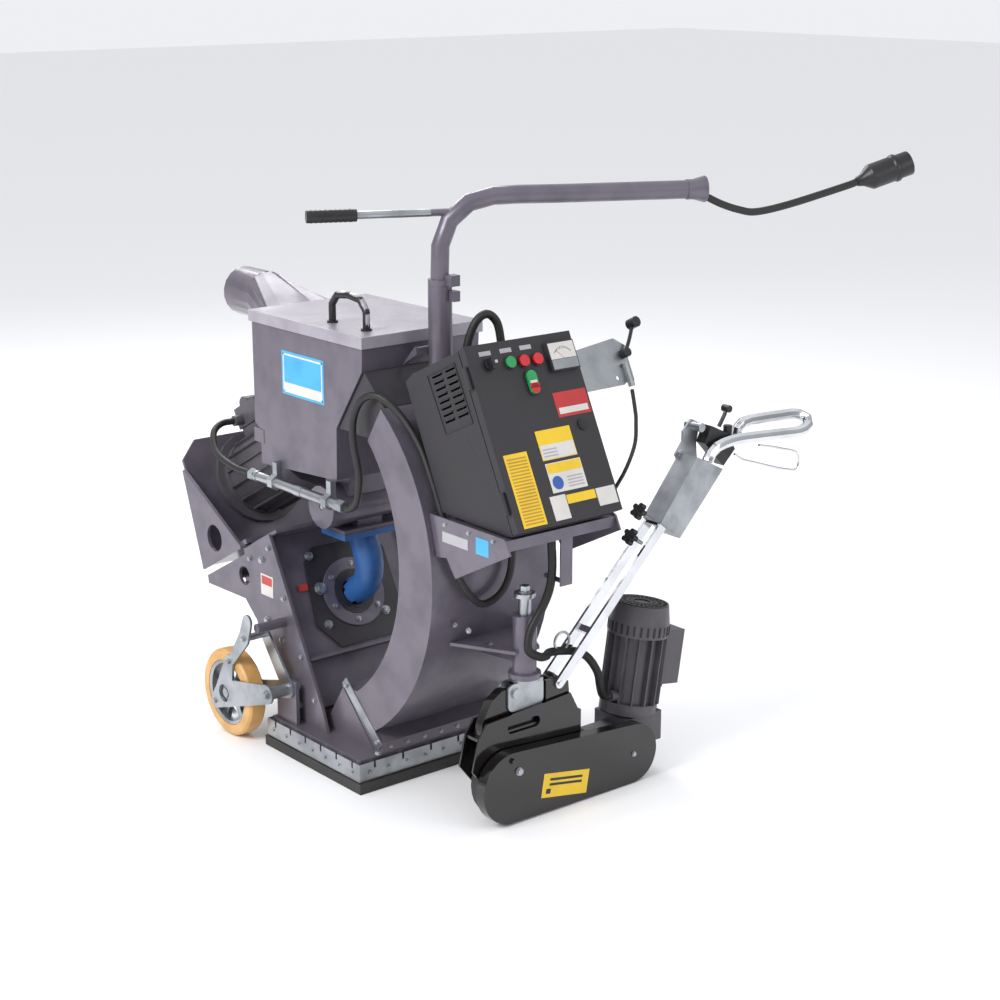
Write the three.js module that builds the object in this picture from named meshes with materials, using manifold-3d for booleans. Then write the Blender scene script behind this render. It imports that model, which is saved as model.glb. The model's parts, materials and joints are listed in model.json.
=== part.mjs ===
// Walk-behind steel-shot blasting machine for floors, with a steerable powered
// drive unit. Millimetres, +Z up. +X points to the operator, and the origin is
// under the front wall of the floor seal, on the floor.
import * as THREE from "three";
import { mergeVertices } from "three/addons/utils/BufferGeometryUtils.js";
import Module from "manifold-3d";

const wasm = await Module();
wasm.setup();

// ---------------------------------------------------------------- sizes
const GAP = 0.3; // clearance between pieces that rest on each other

const SEAL = { front: 8, back: -398, halfWidth: 254, wall: 16, lipHeight: 26 };
const STRIP = { front: 0, back: -392, halfWidth: 250, thickness: 3, low: 27, high: 72 };
const BASE = { front: -9.6, back: -382.4, halfWidth: 240.4, low: 27, deck: 78, wall: 5 };

// The blast wheel housing leans back: n runs along the wheel axis, t up the plate.
const LEAN = { angle: 28.5, foot: [-212, 124] };
const HOUSING = { halfWidth: 190, front: -34, back: -150, top: 458, wall: 6 };
const WHEEL = { t: 278, radius: 122, width: 56, shaft: 17, pulley: 62 };
const MOTOR = { t: 666, radius: 112, plate: -303, front: 6, pulley: 55 };

const DUCT = {
  halfWidth: 175,
  plate: 5,
  outer: { x: -294, z: 538, radius: 483, from: -58.8, to: 51.8 },
  inner: { x: -355, z: 547.5, radius: 420, from: -55, to: 43.2 },
};
const HOPPER = { left: -530, right: -70, halfWidth: 170, top: 1062, sheet: 3 };
const LID = { overhang: 6, low: 1042, high: 1070 };
const OUTLET = { x0: -722, x1: -830, z: 1060, radius: 62, wall: 3 };
const VALVE = { x: -325, z: 606, radius: 54, halfLength: 120 };

const MAST = { radius: 28, bore: 22.6, low: 919, high: 1180 };
const BOOM = {
  radius: 21.5,
  heading: 65,
  height: 1378,
  reach: 625,
  bend: 125,
  lever: 290,
  leverHeight: 1344,
};
const MAST_GLAND = { x: 42, y: 40, radius: 14, top: 990 };

const DOOR = { lean: 26.4, foot: [459, 723], halfWidth: 150, height: 418, depth: 20 };
const CASE = { halfWidth: 146, sheet: 3 };

const BUTTONS = {
  selector_knob: { y: -99.5, w: 369.6 },
  start_button: { y: -41.8, w: 367.4 },
  stop_button_a: { y: -4.2, w: 365.8 },
  stop_button_b: { y: 34.1, w: 365.2 },
  double_button: { y: 1.4, w: 315.8 },
};
const FEED_LEVER = { y: 320, w: 352 };

// The kingpin stands on the duct. The drive unit hangs from it, heading to +Y at rest.
const KINGPIN = { x: 302, top: 540, radius: 15, tube: 28, tubeLow: 335, tubeHigh: 472 };
const PITCH_PIN = { y: -40, z: 296, radius: 12.5 };
const POD = { x0: 290, x1: 314 };
const FORK = { x0: 276, x1: 328, sheet: 5 };
const DRIVE = { wheelY: -58, wheelZ: 89.5, wheelRadius: 88.5, wheelWidth: 36 };
const COVER = { x0: 333, x1: 362, sheet: 2.5, big: [-82, 91, 85], small: [288, 76, 74] };
const GEARBOX = { x0: 250, x1: 326, y0: 214, y1: 345, z0: 32, z1: 128, motorTop: 146 };
const DRIVE_MOTOR = { foot: [270, 354, 160], lean: 9, radius: 58, fins: 73, cowl: 74 };

// The tiller: s runs up it from its pivot, p square to it and upwards.
const TILLER = { y: 85, z: 293, angle: 45, halfWidth: 12.5, length: 600 };
const TILLER_BARS = [[275.5, 282.5], [321.5, 328.5]];
const TILLER_BOX = { x0: 271, x1: 333 };
const HANDLE_RADIUS = 14;

const ARM_PIN = { x: -314, z: 167, bore: 11, radius: 10.4 };
const REAR_WHEEL = { x: -512, z: 113, radius: 112.5, rim: 84, width: 48, y: 268, axle: 12 };

const HANDLE = { x: -195, y: -116, half: 68, rise: 70, radius: 8 };
const CONDUIT = { y: -186, z: 660, radius: 12.5, from: -525, to: -130, clamps: [-424, -195] };

// Cables: radii, and the points that each one passes through.
const CABLE_RADIUS = 8.5;
const BLAST_CABLE_ROUTE = [
  [-785.5, -76, 729.7], [-786, -112, 728], [-762, -150, 712], [-700, -178, 678],
  [-610, -186, 661], [-540, -186, 660], [-500, -186, 660], [-400, -186, 660],
  [-300, -186, 660], [-200, -186, 660], [-140, -186, 660], [-118, -186, 660.2], [-96, -186.5, 668],
  [-75, -188, 690], [-62, -190, 750], [-82, -190, 820], [-84, -188, 880],
  [-50, -186, 932], [0, -172, 944], [52, -150, 902], [104, -140, 842],
  [146, -140, 775], [180, -140, 707], [202, -139, 650], [208, -128, 585],
  [210, -92, 520], [210, -48, 482], [212, 4, 498], [213, 33, 550],
  [215, 36, 640], [226, 36, 690], [228, 36, 710.2],
];
const SUPPLY_RADIUS = 10;
const SUPPLY_LOOP_ROUTE = [
  [42, 40, 990.8], [44, 44, 1045], [54, 60, 1095], [62, 86, 1112],
  [68, 110, 1092], [72, 119, 1050], [73, 121, 1006],
];
const POWER_CABLE_RADIUS = 8.75;
// Distances along the boom's heading, and heights.
const POWER_CABLE_SAG = [
  [560, 1376], [592, 1373], [627, 1363], [672, 1342], [717, 1327],
  [760, 1321], [842, 1336], [975, 1372], [1010, 1383],
];
const HOSE_RADIUS = 10;
const DRIVE_CABLE_ROUTE = [
  [390, 0, 706.6], [390, 2, 660], [386, 8, 600], [373, 12, 548],
  [354, 8, 500], [347, -20, 450], [350, -30, 408], [350, 0, 384],
  [332, 38, 371], [304, 72, 364], [300, 112, 358], [300, 160, 345],
  [300, 195, 322], [300, 225, 280], [296, 238, 240], [290, 250, 216],
  [288, 262, 206.5], [288, 274.2, 204],
];
const FEED_CABLE_RADIUS = 4.5;
const FEED_CABLE_ROUTE = [
  [309, 312, 946], [330, 302, 908], [347, 290, 883], [385, 250, 836],
  [387, 205, 765], [330, 192, 700], [160, 194, 655], [-60, 194, 645],
  [-200, 190, 650], [-275, 164, 662], [-312.5, 141, 662],
];

// ---------------------------------------------------------------- finishes
const finish = (color, roughness, metalness) =>
  new THREE.MeshStandardMaterial({ color, roughness, metalness });
const GREY_PAINT = finish(0x6d6a72, 0.45, 0.3);
const LID_PAINT = finish(0x8b8791, 0.45, 0.3);
const BLACK_PAINT = finish(0x1b1b1d, 0.3, 0.1);
const TEXTURED_BLACK = finish(0x26262a, 0.7, 0.0);
const GALVANISED = finish(0xc9c9c4, 0.4, 0.8);
const CHROME = finish(0xd8dbe0, 0.15, 1.0);
const STEEL = finish(0x8b8b8d, 0.35, 0.9);
const CAST_BLUE = finish(0x1b4e9b, 0.35, 0.1);
const RUBBER = finish(0x161616, 0.85, 0.0);
const AMBER = finish(0xd08a22, 0.4, 0.0);
const ALUMINIUM = finish(0xa9abad, 0.4, 0.9);
const MOTOR_BLACK = finish(0x131314, 0.5, 0.2);
const MOTOR_GREY = finish(0x3a3a3e, 0.5, 0.2);
const PLASTIC = finish(0x161618, 0.4, 0.0);
const GREEN = finish(0x1f9d4d, 0.35, 0.0);
const RED = finish(0xc2202c, 0.35, 0.0);

// ---------------------------------------------------------------- shapes
const rad = THREE.MathUtils.degToRad;

// Turn a closed geometry into a solid that can be joined and cut.
function solid(geometry) {
  const bare = geometry.clone();
  bare.deleteAttribute("normal");
  bare.deleteAttribute("uv");
  const merged = mergeVertices(bare, 1e-3);
  const mesh = new wasm.Mesh({
    numProp: 3,
    vertProperties: new Float32Array(merged.attributes.position.array),
    triVerts: new Uint32Array(merged.index.array),
  });
  return new wasm.Manifold(mesh);
}

function geometryOf(body) {
  const mesh = body.getMesh();
  const geometry = new THREE.BufferGeometry();
  geometry.setAttribute("position", new THREE.BufferAttribute(mesh.vertProperties.slice(), 3));
  geometry.setIndex(new THREE.BufferAttribute(mesh.triVerts.slice(), 1));
  geometry.computeVertexNormals();
  return geometry;
}

// The same body, moved by a matrix.
const moved = (body, matrix) => solid(geometryOf(body).applyMatrix4(matrix));
const join = (first, ...rest) => rest.reduce((sum, piece) => sum.add(piece), first);
// The range from near to far of the centre plane, on one side of it.
const across = (side, near, far) => (side < 0 ? [-far, -near] : [near, far]);
const cut = (first, ...rest) => rest.reduce((sum, piece) => sum.subtract(piece), first);

function block([x0, x1], [y0, y1], [z0, z1]) {
  const geometry = new THREE.BoxGeometry(x1 - x0, y1 - y0, z1 - z0);
  return solid(geometry.translate((x0 + x1) / 2, (y0 + y1) / 2, (z0 + z1) / 2));
}

function shapeOf(outline) {
  return outline instanceof THREE.Shape
    ? outline
    : new THREE.Shape(outline.map(([u, v]) => new THREE.Vector2(u, v)));
}

// A plate whose outline is drawn in one plane and whose thickness runs from a to b.
const PLANES = {
  xy: [[1, 0, 0], [0, 1, 0], [0, 0, 1]],
  yz: [[0, 1, 0], [0, 0, 1], [1, 0, 0]],
  zx: [[0, 0, 1], [1, 0, 0], [0, 1, 0]],
};

function plate(plane, outline, a, b, curveSegments = 4) {
  const depth = b - a;
  const geometry = new THREE.ExtrudeGeometry(shapeOf(outline), {
    depth,
    bevelEnabled: false,
    curveSegments,
  });
  geometry.translate(0, 0, a);
  const axes = PLANES[plane].map((axis) => new THREE.Vector3(...axis));
  geometry.applyMatrix4(new THREE.Matrix4().makeBasis(...axes));
  return solid(geometry);
}

// Plates drawn with [x, z] corners, standing across Y.
const sidePlate = (corners, y0, y1) =>
  plate("zx", corners.map(([x, z]) => [z, x]).reverse(), y0, y1);

const AXIS_TURNS = { x: [0, 0, -Math.PI / 2], y: [0, 0, 0], z: [Math.PI / 2, 0, 0] };

// Facets of a round body: more on a larger radius.
const facets = (radius) => (radius < 9 ? 8 : radius < 30 ? 12 : radius < 60 ? 16 : 18);

function cylinder(axis, [x, y, z], radius, from, to, sides = facets(radius), endRadius = radius) {
  const geometry = new THREE.CylinderGeometry(endRadius, radius, to - from, sides);
  geometry.translate(0, (from + to) / 2, 0);
  geometry.applyMatrix4(
    new THREE.Matrix4().makeRotationFromEuler(new THREE.Euler(...AXIS_TURNS[axis])),
  );
  return solid(geometry.translate(x, y, z));
}

// A round bar or hose along a smooth curve through the given points.
function rod(points, radius, sides = 10, steps = 30) {
  const path = new THREE.CatmullRomCurve3(points.map((p) => new THREE.Vector3(...p)));
  const section = new THREE.Shape();
  for (let i = 0; i <= sides; i += 1) {
    const a = (i / sides) * 2 * Math.PI;
    section[i ? "lineTo" : "moveTo"](radius * Math.cos(a), radius * Math.sin(a));
  }
  return solid(new THREE.ExtrudeGeometry(section, { steps, extrudePath: path }));
}

// A body turned about one of its lines: profile is [radius, height] pairs.
function turned(axis, [x, y, z], profile, sides = 20) {
  const geometry = new THREE.LatheGeometry(
    profile.map(([r, h]) => new THREE.Vector2(r, h)),
    sides,
  );
  geometry.applyMatrix4(
    new THREE.Matrix4().makeRotationFromEuler(new THREE.Euler(...AXIS_TURNS[axis])),
  );
  return solid(geometry.translate(x, y, z));
}

// Corners of an arc about [x, z], from one angle to another, in degrees above +X.
function arc({ x, z, radius, from, to }, count) {
  return Array.from({ length: count + 1 }, (_, i) => {
    const a = rad(from + ((to - from) * i) / count);
    return [x + radius * Math.cos(a), z + radius * Math.sin(a)];
  });
}

// Move every side of a closed outline inwards by a distance.
function inset(corners, distance) {
  const count = corners.length;
  const area = corners.reduce((sum, [x, z], i) => {
    const [x2, z2] = corners[(i + 1) % count];
    return sum + x * z2 - x2 * z;
  }, 0);
  const side = Math.sign(area) * distance;
  return corners.map(([x, z], i) => {
    const before = corners[(i + count - 1) % count];
    const after = corners[(i + 1) % count];
    const a = new THREE.Vector2(x - before[0], z - before[1]).normalize();
    const b = new THREE.Vector2(after[0] - x, after[1] - z).normalize();
    const normalA = new THREE.Vector2(-a.y, a.x);
    const normalB = new THREE.Vector2(-b.y, b.x);
    const scale = side / (1 + normalA.dot(normalB));
    return [x + (normalA.x + normalB.x) * scale, z + (normalA.y + normalB.y) * scale];
  });
}

// A rectangle with rounded corners, centred on [u, v].
function roundedBox(u, v, width, height, radius) {
  const shape = new THREE.Shape();
  const [x, y] = [width / 2 - radius, height / 2 - radius];
  shape.absarc(u + x, v + y, radius, 0, Math.PI / 2);
  shape.absarc(u - x, v + y, radius, Math.PI / 2, Math.PI);
  shape.absarc(u - x, v - y, radius, Math.PI, 1.5 * Math.PI);
  shape.absarc(u + x, v - y, radius, 1.5 * Math.PI, 2 * Math.PI);
  return shape;
}

// The outline round two circles of one belt or chain guard.
function stadium([u0, v0, r0], [u1, v1, r1]) {
  const along = Math.atan2(v1 - v0, u1 - u0);
  const reach = Math.hypot(u1 - u0, v1 - v0);
  const half = Math.acos((r0 - r1) / reach);
  const shape = new THREE.Shape();
  shape.absarc(u1, v1, r1, along - half, along + half, false);
  shape.absarc(u0, v0, r0, along + half, along - half + 2 * Math.PI, false);
  return shape;
}

const machine = new THREE.Group();
const lean = new THREE.Group();
lean.position.set(LEAN.foot[0], 0, LEAN.foot[1]);
lean.rotation.y = -rad(LEAN.angle);
const door = new THREE.Group();
door.position.set(DOOR.foot[0], 0, DOOR.foot[1]);
door.rotation.y = -rad(DOOR.lean);
machine.add(lean, door);

function add(group, name, body, material) {
  const mesh = new THREE.Mesh(geometryOf(body), material);
  mesh.name = name;
  group.add(mesh);
}

// A point of the leaning housing, n along the wheel axis and t up, as [x, z].
function leaning(n, t) {
  const a = rad(LEAN.angle);
  return [
    LEAN.foot[0] + n * Math.cos(a) - t * Math.sin(a),
    LEAN.foot[1] + n * Math.sin(a) + t * Math.cos(a),
  ];
}

// ---------------------------------------------------------------- base and floor seal
function frameRing({ front, back, halfWidth }, wall, low, high) {
  const outer = block([back, front], [-halfWidth, halfWidth], [low, high]);
  const inner = block(
    [back + wall, front - wall],
    [-halfWidth + wall, halfWidth - wall],
    [low - 1, high + 1],
  );
  return cut(outer, inner);
}

function buildSeal() {
  const lip = frameRing(SEAL, SEAL.wall, 0, SEAL.lipHeight);
  const web = {
    front: STRIP.front - STRIP.thickness - GAP,
    back: STRIP.back + STRIP.thickness + GAP,
    halfWidth: STRIP.halfWidth - STRIP.thickness - GAP,
  };
  add(machine, "seal_rubber", join(lip, frameRing(web, 6, SEAL.lipHeight - 8, 62)), RUBBER);

  const notches = [];
  const slot = { width: 6, depth: 16 };
  for (let i = 0; i < 6; i += 1) {
    const x = STRIP.back + 33 + (i * (STRIP.front - STRIP.back - 66)) / 5;
    const y = -STRIP.halfWidth + 42 + (i * (2 * STRIP.halfWidth - 84)) / 5;
    const z = [STRIP.high - slot.depth, STRIP.high + 1];
    notches.push(block([x, x + slot.width], [-STRIP.halfWidth - 1, STRIP.halfWidth + 1], z));
    notches.push(block([STRIP.back - 1, STRIP.front + 1], [y, y + slot.width], z));
  }
  const strip = frameRing(STRIP, STRIP.thickness, STRIP.low, STRIP.high);
  add(machine, "seal_strip", cut(strip, ...notches), GALVANISED);
}

function buildBase() {
  const { front, back, halfWidth, low, deck, wall } = BASE;
  const box = block([back, front], [-halfWidth, halfWidth], [low, deck]);
  const hollow = block(
    [back + wall, front - wall],
    [-halfWidth + wall, halfWidth - wall],
    [low - 1, deck - wall],
  );
  const mouth = block([-330, -50], [-164, 164], [deck - wall - 1, deck + 1]);
  const pieces = [cut(box, hollow, mouth)];
  const outline = [
    [-196, deck - 3],
    leaning(0, 12),
    leaning(0, 460),
    leaning(-134, 460),
    leaning(-136, 446),
    leaning(-345, 446),
    leaning(-352, 426),
    leaning(-196, 345),
    leaning(-150, 222),
    leaning(-118, 60),
    [-336, deck - 3],
  ];
  const hole = cylinder("y", [-550, 0, 394], 25, -220, 220);
  const cheek = [[-252, deck - 3], [-168, 200], [-44, deck - 3]];
  for (const side of [-1, 1]) {
    pieces.push(cut(sidePlate(outline, ...across(side, 196, 204)), hole));
    pieces.push(sidePlate(cheek, ...across(side, 167, 175)));
  }
  // Two cross tubes tie the side plates, behind the wheel housing.
  for (const [n, t] of [[-188, 372], [-262, 420]]) {
    const [x, z] = leaning(n, t);
    pieces.push(cylinder("y", [x, 0, z], 14, -200, 200));
  }
  // Lugs at the back carry the hinge pins of the rear wheel arms.
  const lug = [[-372, deck - 3], [-372, 150], [-340, 190], [-288, 190], [-288, deck - 3]];
  const { x, z, bore } = ARM_PIN;
  for (const side of [-1, 1]) {
    const pin = cylinder("y", [x, 0, z], bore, -240, 240);
    pieces.push(cut(sidePlate(lug, ...across(side, 222, 232)), pin));
    pieces.push(block([-368, -352], across(side, 200, 226), [deck - 3, 146]));
    // Adjuster eye on the side plate, above the arm.
    pieces.push(cylinder("y", [-372, 0, 318], 12, ...across(side, 200, 286)));
  }
  add(machine, "base_frame", join(...pieces), GREY_PAINT);
}

// ---------------------------------------------------------------- leaning blast unit
function buildHousing() {
  const { halfWidth, front, back, top, wall } = HOUSING;
  // The foot is trimmed level with the deck of the base.
  const shell = sidePlate(
    [[back, 32], [front, 18], [front, top], [back, top]],
    -halfWidth,
    halfWidth,
  );
  const hollow = sidePlate(
    [[back + wall, 20], [front - wall, 10], [front - wall, top - wall], [back + wall, top - wall]],
    -halfWidth + wall,
    halfWidth - wall,
  );
  const axle = cylinder("x", [0, 0, WHEEL.t], WHEEL.shaft + 6, back - 5, back + wall + 5);
  const feed = cylinder("x", [0, 0, WHEEL.t], 50, front - wall - 5, front + 5);
  const rib = block([front - 1, -8], [-halfWidth, halfWidth], [133, 141]);
  const roof = block([back, 14], [-halfWidth, halfWidth], [top - 1, top + 8]);
  const bearing = cylinder("x", [0, 0, WHEEL.t], 45, back - 90, back + 1);
  const bearingBore = cylinder("x", [0, 0, WHEEL.t], WHEEL.shaft + 1.6, back - 95, back + 10);
  const body = join(cut(shell, hollow), rib, roof, cut(bearing, bearingBore));
  add(lean, "wheel_housing", cut(body, axle, feed), GREY_PAINT);
}

function buildAccessPlate() {
  const t = WHEEL.t;
  const corners = [
    [-112, t + 100], [-78, t + 132], [92, t + 132], [128, t + 96],
    [128, t - 60], [78, t - 128], [-78, t - 128], [-130, t - 62],
  ];
  const front = HOUSING.front;
  const sheet = plate("yz", corners, front + GAP, front + 8);
  const rim = cylinder("x", [0, 0, t], 58, front + 7, front + 16);
  const bore = cylinder("x", [0, 0, t], 44, front, front + 20);
  // The control cage is clamped in the plate and reaches into the eye of the wheel.
  const cageLow = front - 22;
  const cage = cylinder("x", [0, 0, t], 44.5, cageLow, front + 18);
  const cageBore = cylinder("x", [0, 0, t], 36.5, cageLow - 1, front + 20);
  const window = block([cageLow - 1, cageLow + 12], [-14, 14], [t - 60, t]);
  const cover = join(cut(join(sheet, rim), bore), cut(cage, cageBore, window));
  add(lean, "wheel_access_plate", cover, GREY_PAINT);
}

function buildBlastWheel() {
  const { t, radius, width, shaft, pulley } = WHEEL;
  const middle = -96;
  const low = middle - width / 2;
  const high = middle + width / 2 - 4;
  const pieces = [
    cylinder("x", [0, 0, t], radius, low, low + 8),
    cylinder("x", [0, 0, t], 34, low, low + 14),
    cylinder("x", [0, 0, t], shaft, -356, low + 2),
    cylinder("x", [0, 0, t], pulley, -350, -322),
  ];
  for (let i = 0; i < 8; i += 1) {
    const vane = new THREE.BoxGeometry(high - low - 6, 6, radius - 52);
    vane.translate((low + 6 + high) / 2, 0, (radius + 48) / 2);
    vane.rotateX((i * Math.PI) / 4);
    pieces.push(solid(vane.translate(0, 0, t)));
  }
  const disc = cylinder("x", [0, 0, t], radius, high - 1, high + 5, 32);
  const eye = cylinder("x", [0, 0, t], 52, high - 3, high + 7);
  add(lean, "blast_wheel", join(...pieces, cut(disc, eye)), STEEL);
}

function buildMotor() {
  const { t, radius, plate: back, front, pulley } = MOTOR;
  const pieces = [
    cylinder("x", [0, 0, t], 100, back + 30, front - 60),
    cylinder("x", [0, 0, t], 125, back + GAP, back + 16),
    cylinder("x", [0, 0, t], 104, back + 14, back + 34),
    cylinder("x", [0, 0, t], radius, front - 62, front),
    block([back + 70, back + 170], [-44, 44], [t + 60, t + 120]),
  ];
  const finCount = 16;
  for (let i = 0; i < finCount; i += 1) {
    const fin = new THREE.BoxGeometry(front - 61 - (back + 33), 3.5, 16);
    fin.translate((back + 33 + front - 61) / 2, 0, radius - 12);
    fin.rotateX(((i + 0.5) * 2 * Math.PI) / finCount);
    pieces.push(solid(fin.translate(0, 0, t)));
  }
  add(lean, "blast_motor", join(...pieces), MOTOR_BLACK);
  const shaft = cylinder("x", [0, 0, t], 18, -356, back - GAP);
  const wheel = cylinder("x", [0, 0, t], pulley, -350, -322);
  add(lean, "motor_pulley", join(shaft, wheel), STEEL);

  const box = block([back + 62, back + 172], [-48, 48], [t + 120 + GAP, t + 176]);
  const hump = cylinder("y", [back + 117, 0, t + 172], 22, -48, 48);
  const gland = cylinder("y", [back + 88, 0, t + 140], 14, -74, -44);
  add(lean, "motor_terminal_box", join(box, hump, gland), MOTOR_GREY);
}

function buildMotorMount() {
  const back = MOTOR.plate;
  const beltSlot = block([-372, -310], [-94, 94], [460, 490]);
  const pieces = [cut(block([-345, -112], [-204, 204], [468, 480]), beltSlot)];
  const face = [[-200, 470], [-200, 748], [-150, 796], [150, 796], [200, 748], [200, 470]];
  const motorHole = cylinder("x", [0, 0, MOTOR.t], 70, back - 12, back + 4);
  pieces.push(cut(plate("yz", face, back - 8, back), motorHole));
  const gusset = [[-345, 462], [-303, 720], [-296, 720], [-134, 470], [-134, 462]];
  const hole = cylinder("y", [-244, 0, 520], 35, -220, 220);
  for (const side of [-1, 1]) {
    pieces.push(cut(sidePlate(gusset, ...across(side, 203, 212)), hole));
    pieces.push(block([-311, -297], across(side, 198, 206), [470, 716]));
  }
  add(lean, "motor_mount", join(...pieces), GREY_PAINT);
}

function buildBelt() {
  const round = [[0, WHEEL.t], [0, MOTOR.t]];
  const loop = (extra) =>
    stadium([...round[0], WHEEL.pulley + extra], [...round[1], MOTOR.pulley + extra]);
  const outer = plate("yz", loop(8), -348, -324, 14);
  const inner = plate("yz", loop(0.6), -350, -322, 14);
  add(lean, "drive_belt", cut(outer, inner), RUBBER);

  const guard = plate("yz", loop(28), -368, -313, 14);
  const hollow = plate("yz", loop(25), -365, -312, 14);
  add(lean, "belt_guard", cut(guard, hollow), GREY_PAINT);
}

function buildFeed() {
  const { x, z, radius, halfLength } = VALVE;
  const drum = cylinder("y", [x, 0, z], radius, -halfLength, halfLength);
  const bore = cylinder("y", [x, 0, z], radius - 6, -halfLength + 5, halfLength - 5);
  const underside = (px) => 688 + (px + 505) * 0.068;
  const neck = sidePlate(
    [[x - 50, z + 30], [x + 50, z + 30], [x + 50, underside(x + 50)], [x - 50, underside(x - 50)]],
    -70,
    70,
  );
  const neckBore = block([x - 44, x + 44], [-64, 64], [z + 20, 712]);
  const throat = block([x - 36, x + 36], [-36, 36], [548, z - 30]);
  const throatBore = block([x - 31, x + 31], [-31, 31], [546, z - 20]);
  const foot = block([x - 52, x + 52], [-88, 88], [542, 550]);
  const pin = cylinder("y", [x, 0, z], 7.2, -halfLength - 1, halfLength + 1);
  add(
    machine,
    "shot_valve_body",
    cut(join(drum, neck, throat, foot), bore, neckBore, throatBore, pin),
    GREY_PAINT,
  );
  const shaft = cylinder("y", [x, 0, z], 6, -halfLength + 1, halfLength + 34);
  const flap = block([x - 46, x + 46], [-60, 60], [z - 3, z + 3]);
  const crank = sidePlate(
    [[x - 12, z - 12], [x + 12, z - 12], [x + 9, z + 64], [x - 9, z + 64]],
    halfLength + 18,
    halfLength + 24,
  );
  add(machine, "valve_flap", join(shaft, flap, crank), STEEL);

  const [endX, endZ] = leaning(HOUSING.front + 20, WHEEL.t);
  const points = [
    [x, 0, 526],
    [x + 7, 0, 503],
    [x + 25, 0, 468],
    [x + 30, 0, 430],
    [x + 16, 0, 396],
    [endX + 22, 0, endZ + 12],
    [endX, 0, endZ],
  ];
  const elbow = rod(points, 36, 14, 9);
  const elbowBore = rod(points, 31, 14, 9);
  const flange = block([x - 50, x + 50], [-86, 86], [524, 542 - GAP]);
  const flangeBore = cylinder("z", [x, 0, 0], 31, 520, 545);
  add(machine, "feed_elbow", cut(join(elbow, flange), elbowBore, flangeBore), CAST_BLUE);
}

// ---------------------------------------------------------------- rebound duct, hopper, lid
function buildDuct() {
  const { halfWidth, plate: sheet, outer, inner } = DUCT;
  const crescent = (grow, extra) => [
    ...arc({ ...outer, radius: outer.radius + grow, from: outer.from - extra, to: outer.to + extra }, 22),
    ...arc({ ...inner, radius: inner.radius - grow, from: inner.from - extra, to: inner.to + extra }, 22).reverse(),
  ];
  const shell = sidePlate(crescent(0, 0), -halfWidth, halfWidth);
  const hollow = sidePlate(crescent(-sheet, 3), -halfWidth + sheet, halfWidth - sheet);
  // The foot meets the base on a slanted joint and widens to the front of the deck.
  const outline = [[-166, 204.5], [-112, 206], [-40, 122], [-11, 104], [-11, 78.4], [-42, 78.4]];
  const bore = [
    [-185, 197], [-112, 199], [-45, 117], [-17, 101],
    [-17, 84], [-40, 84], [-60, 70], [-190, 180],
  ];
  const foot = sidePlate(outline, -halfWidth, halfWidth);
  const footBore = sidePlate(bore, -halfWidth + sheet, halfWidth - sheet);
  add(machine, "rebound_duct", cut(join(shell, foot), hollow, footBore), GREY_PAINT);

  // The throat runs from the end of the duct to the hopper, open at both.
  const ends = [[-176, 838], [-71, 988], [3.6, 918.4], [-49.9, 836]];
  const [a, b, c, d] = ends.map(([px, pz]) => new THREE.Vector2(px, pz));
  const shift = (from, to, distance) =>
    from.clone().addScaledVector(to.clone().sub(from).normalize(), distance);
  const skin = 6;
  const past = -12;
  const [a2, b2] = [shift(a, b, skin), shift(b, a, skin)];
  const [c2, d2] = [shift(c, d, skin), shift(d, c, skin)];
  const cavity = [
    shift(a2, d2, past),
    shift(b2, c2, past),
    shift(c2, b2, past),
    shift(d2, a2, past),
  ].map((point) => [point.x, point.y]);
  const throat = cut(sidePlate(ends, -165, 165), sidePlate(cavity, -160, 160));
  add(machine, "rebound_throat", throat, BLACK_PAINT);
  return sidePlate(cavity, -155, 155);
}

function buildHopper(throatWindow) {
  const { left, right, halfWidth, top, sheet } = HOPPER;
  const corners = [
    [left, top], [left, 790], [-505, 776], [-505, 689],
    [-182, 711], [-179, 838], [-74, 988], [right, top],
  ];
  const shell = sidePlate(corners, -halfWidth, halfWidth);
  const lifted = inset(corners, sheet).map(([x, z]) => [x, z > 1000 ? top + 5 : z]);
  const hollow = sidePlate(lifted, -halfWidth + sheet, halfWidth - sheet);
  const outletHole = block([left - 1, left + 10], [-100, 100], [990, 1050]);
  const drop = block([VALVE.x - 42, VALVE.x + 42], [-62, 62], [680, 720]);
  // A tab at the back holds the strap of the lower door.
  const tab = block([-532, -490], [-halfWidth - 2, -halfWidth + 1], [742, 776]);
  add(machine, "hopper", cut(join(shell, tab), hollow, outletHole, drop, throatWindow), GREY_PAINT);
}

function buildLid() {
  const { overhang, low, high } = LID;
  const { left, right, halfWidth, top } = HOPPER;
  const [x0, x1, y] = [left - overhang, right + overhang, halfWidth + overhang];
  const sheet = 2.5;
  const cap = block([x0, x1], [-y, y], [low, high]);
  const inside = block([x0 + sheet, x1 - sheet], [-y + sheet, y - sheet], [low - 1, top + 1]);
  const outletNotch = block([x0 - 1, x0 + 10], [-128, 128], [low - 1, top + 1]);
  // Bail handle across the middle of the lid, a flat arch of round bar.
  const { x, y: side, half, rise, radius } = HANDLE;
  const handle = rod(
    [
      [x - half, side, high - 2],
      [x - half, side, high + rise - 26],
      [x - half + 22, side, high + rise - 2],
      [x, side, high + rise + 3],
      [x + half - 22, side, high + rise - 2],
      [x + half, side, high + rise - 26],
      [x + half, side, high - 2],
    ],
    radius,
    8,
    20,
  );
  add(machine, "hopper_lid", join(cut(cap, inside, outletNotch), handle), LID_PAINT);
}

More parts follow.
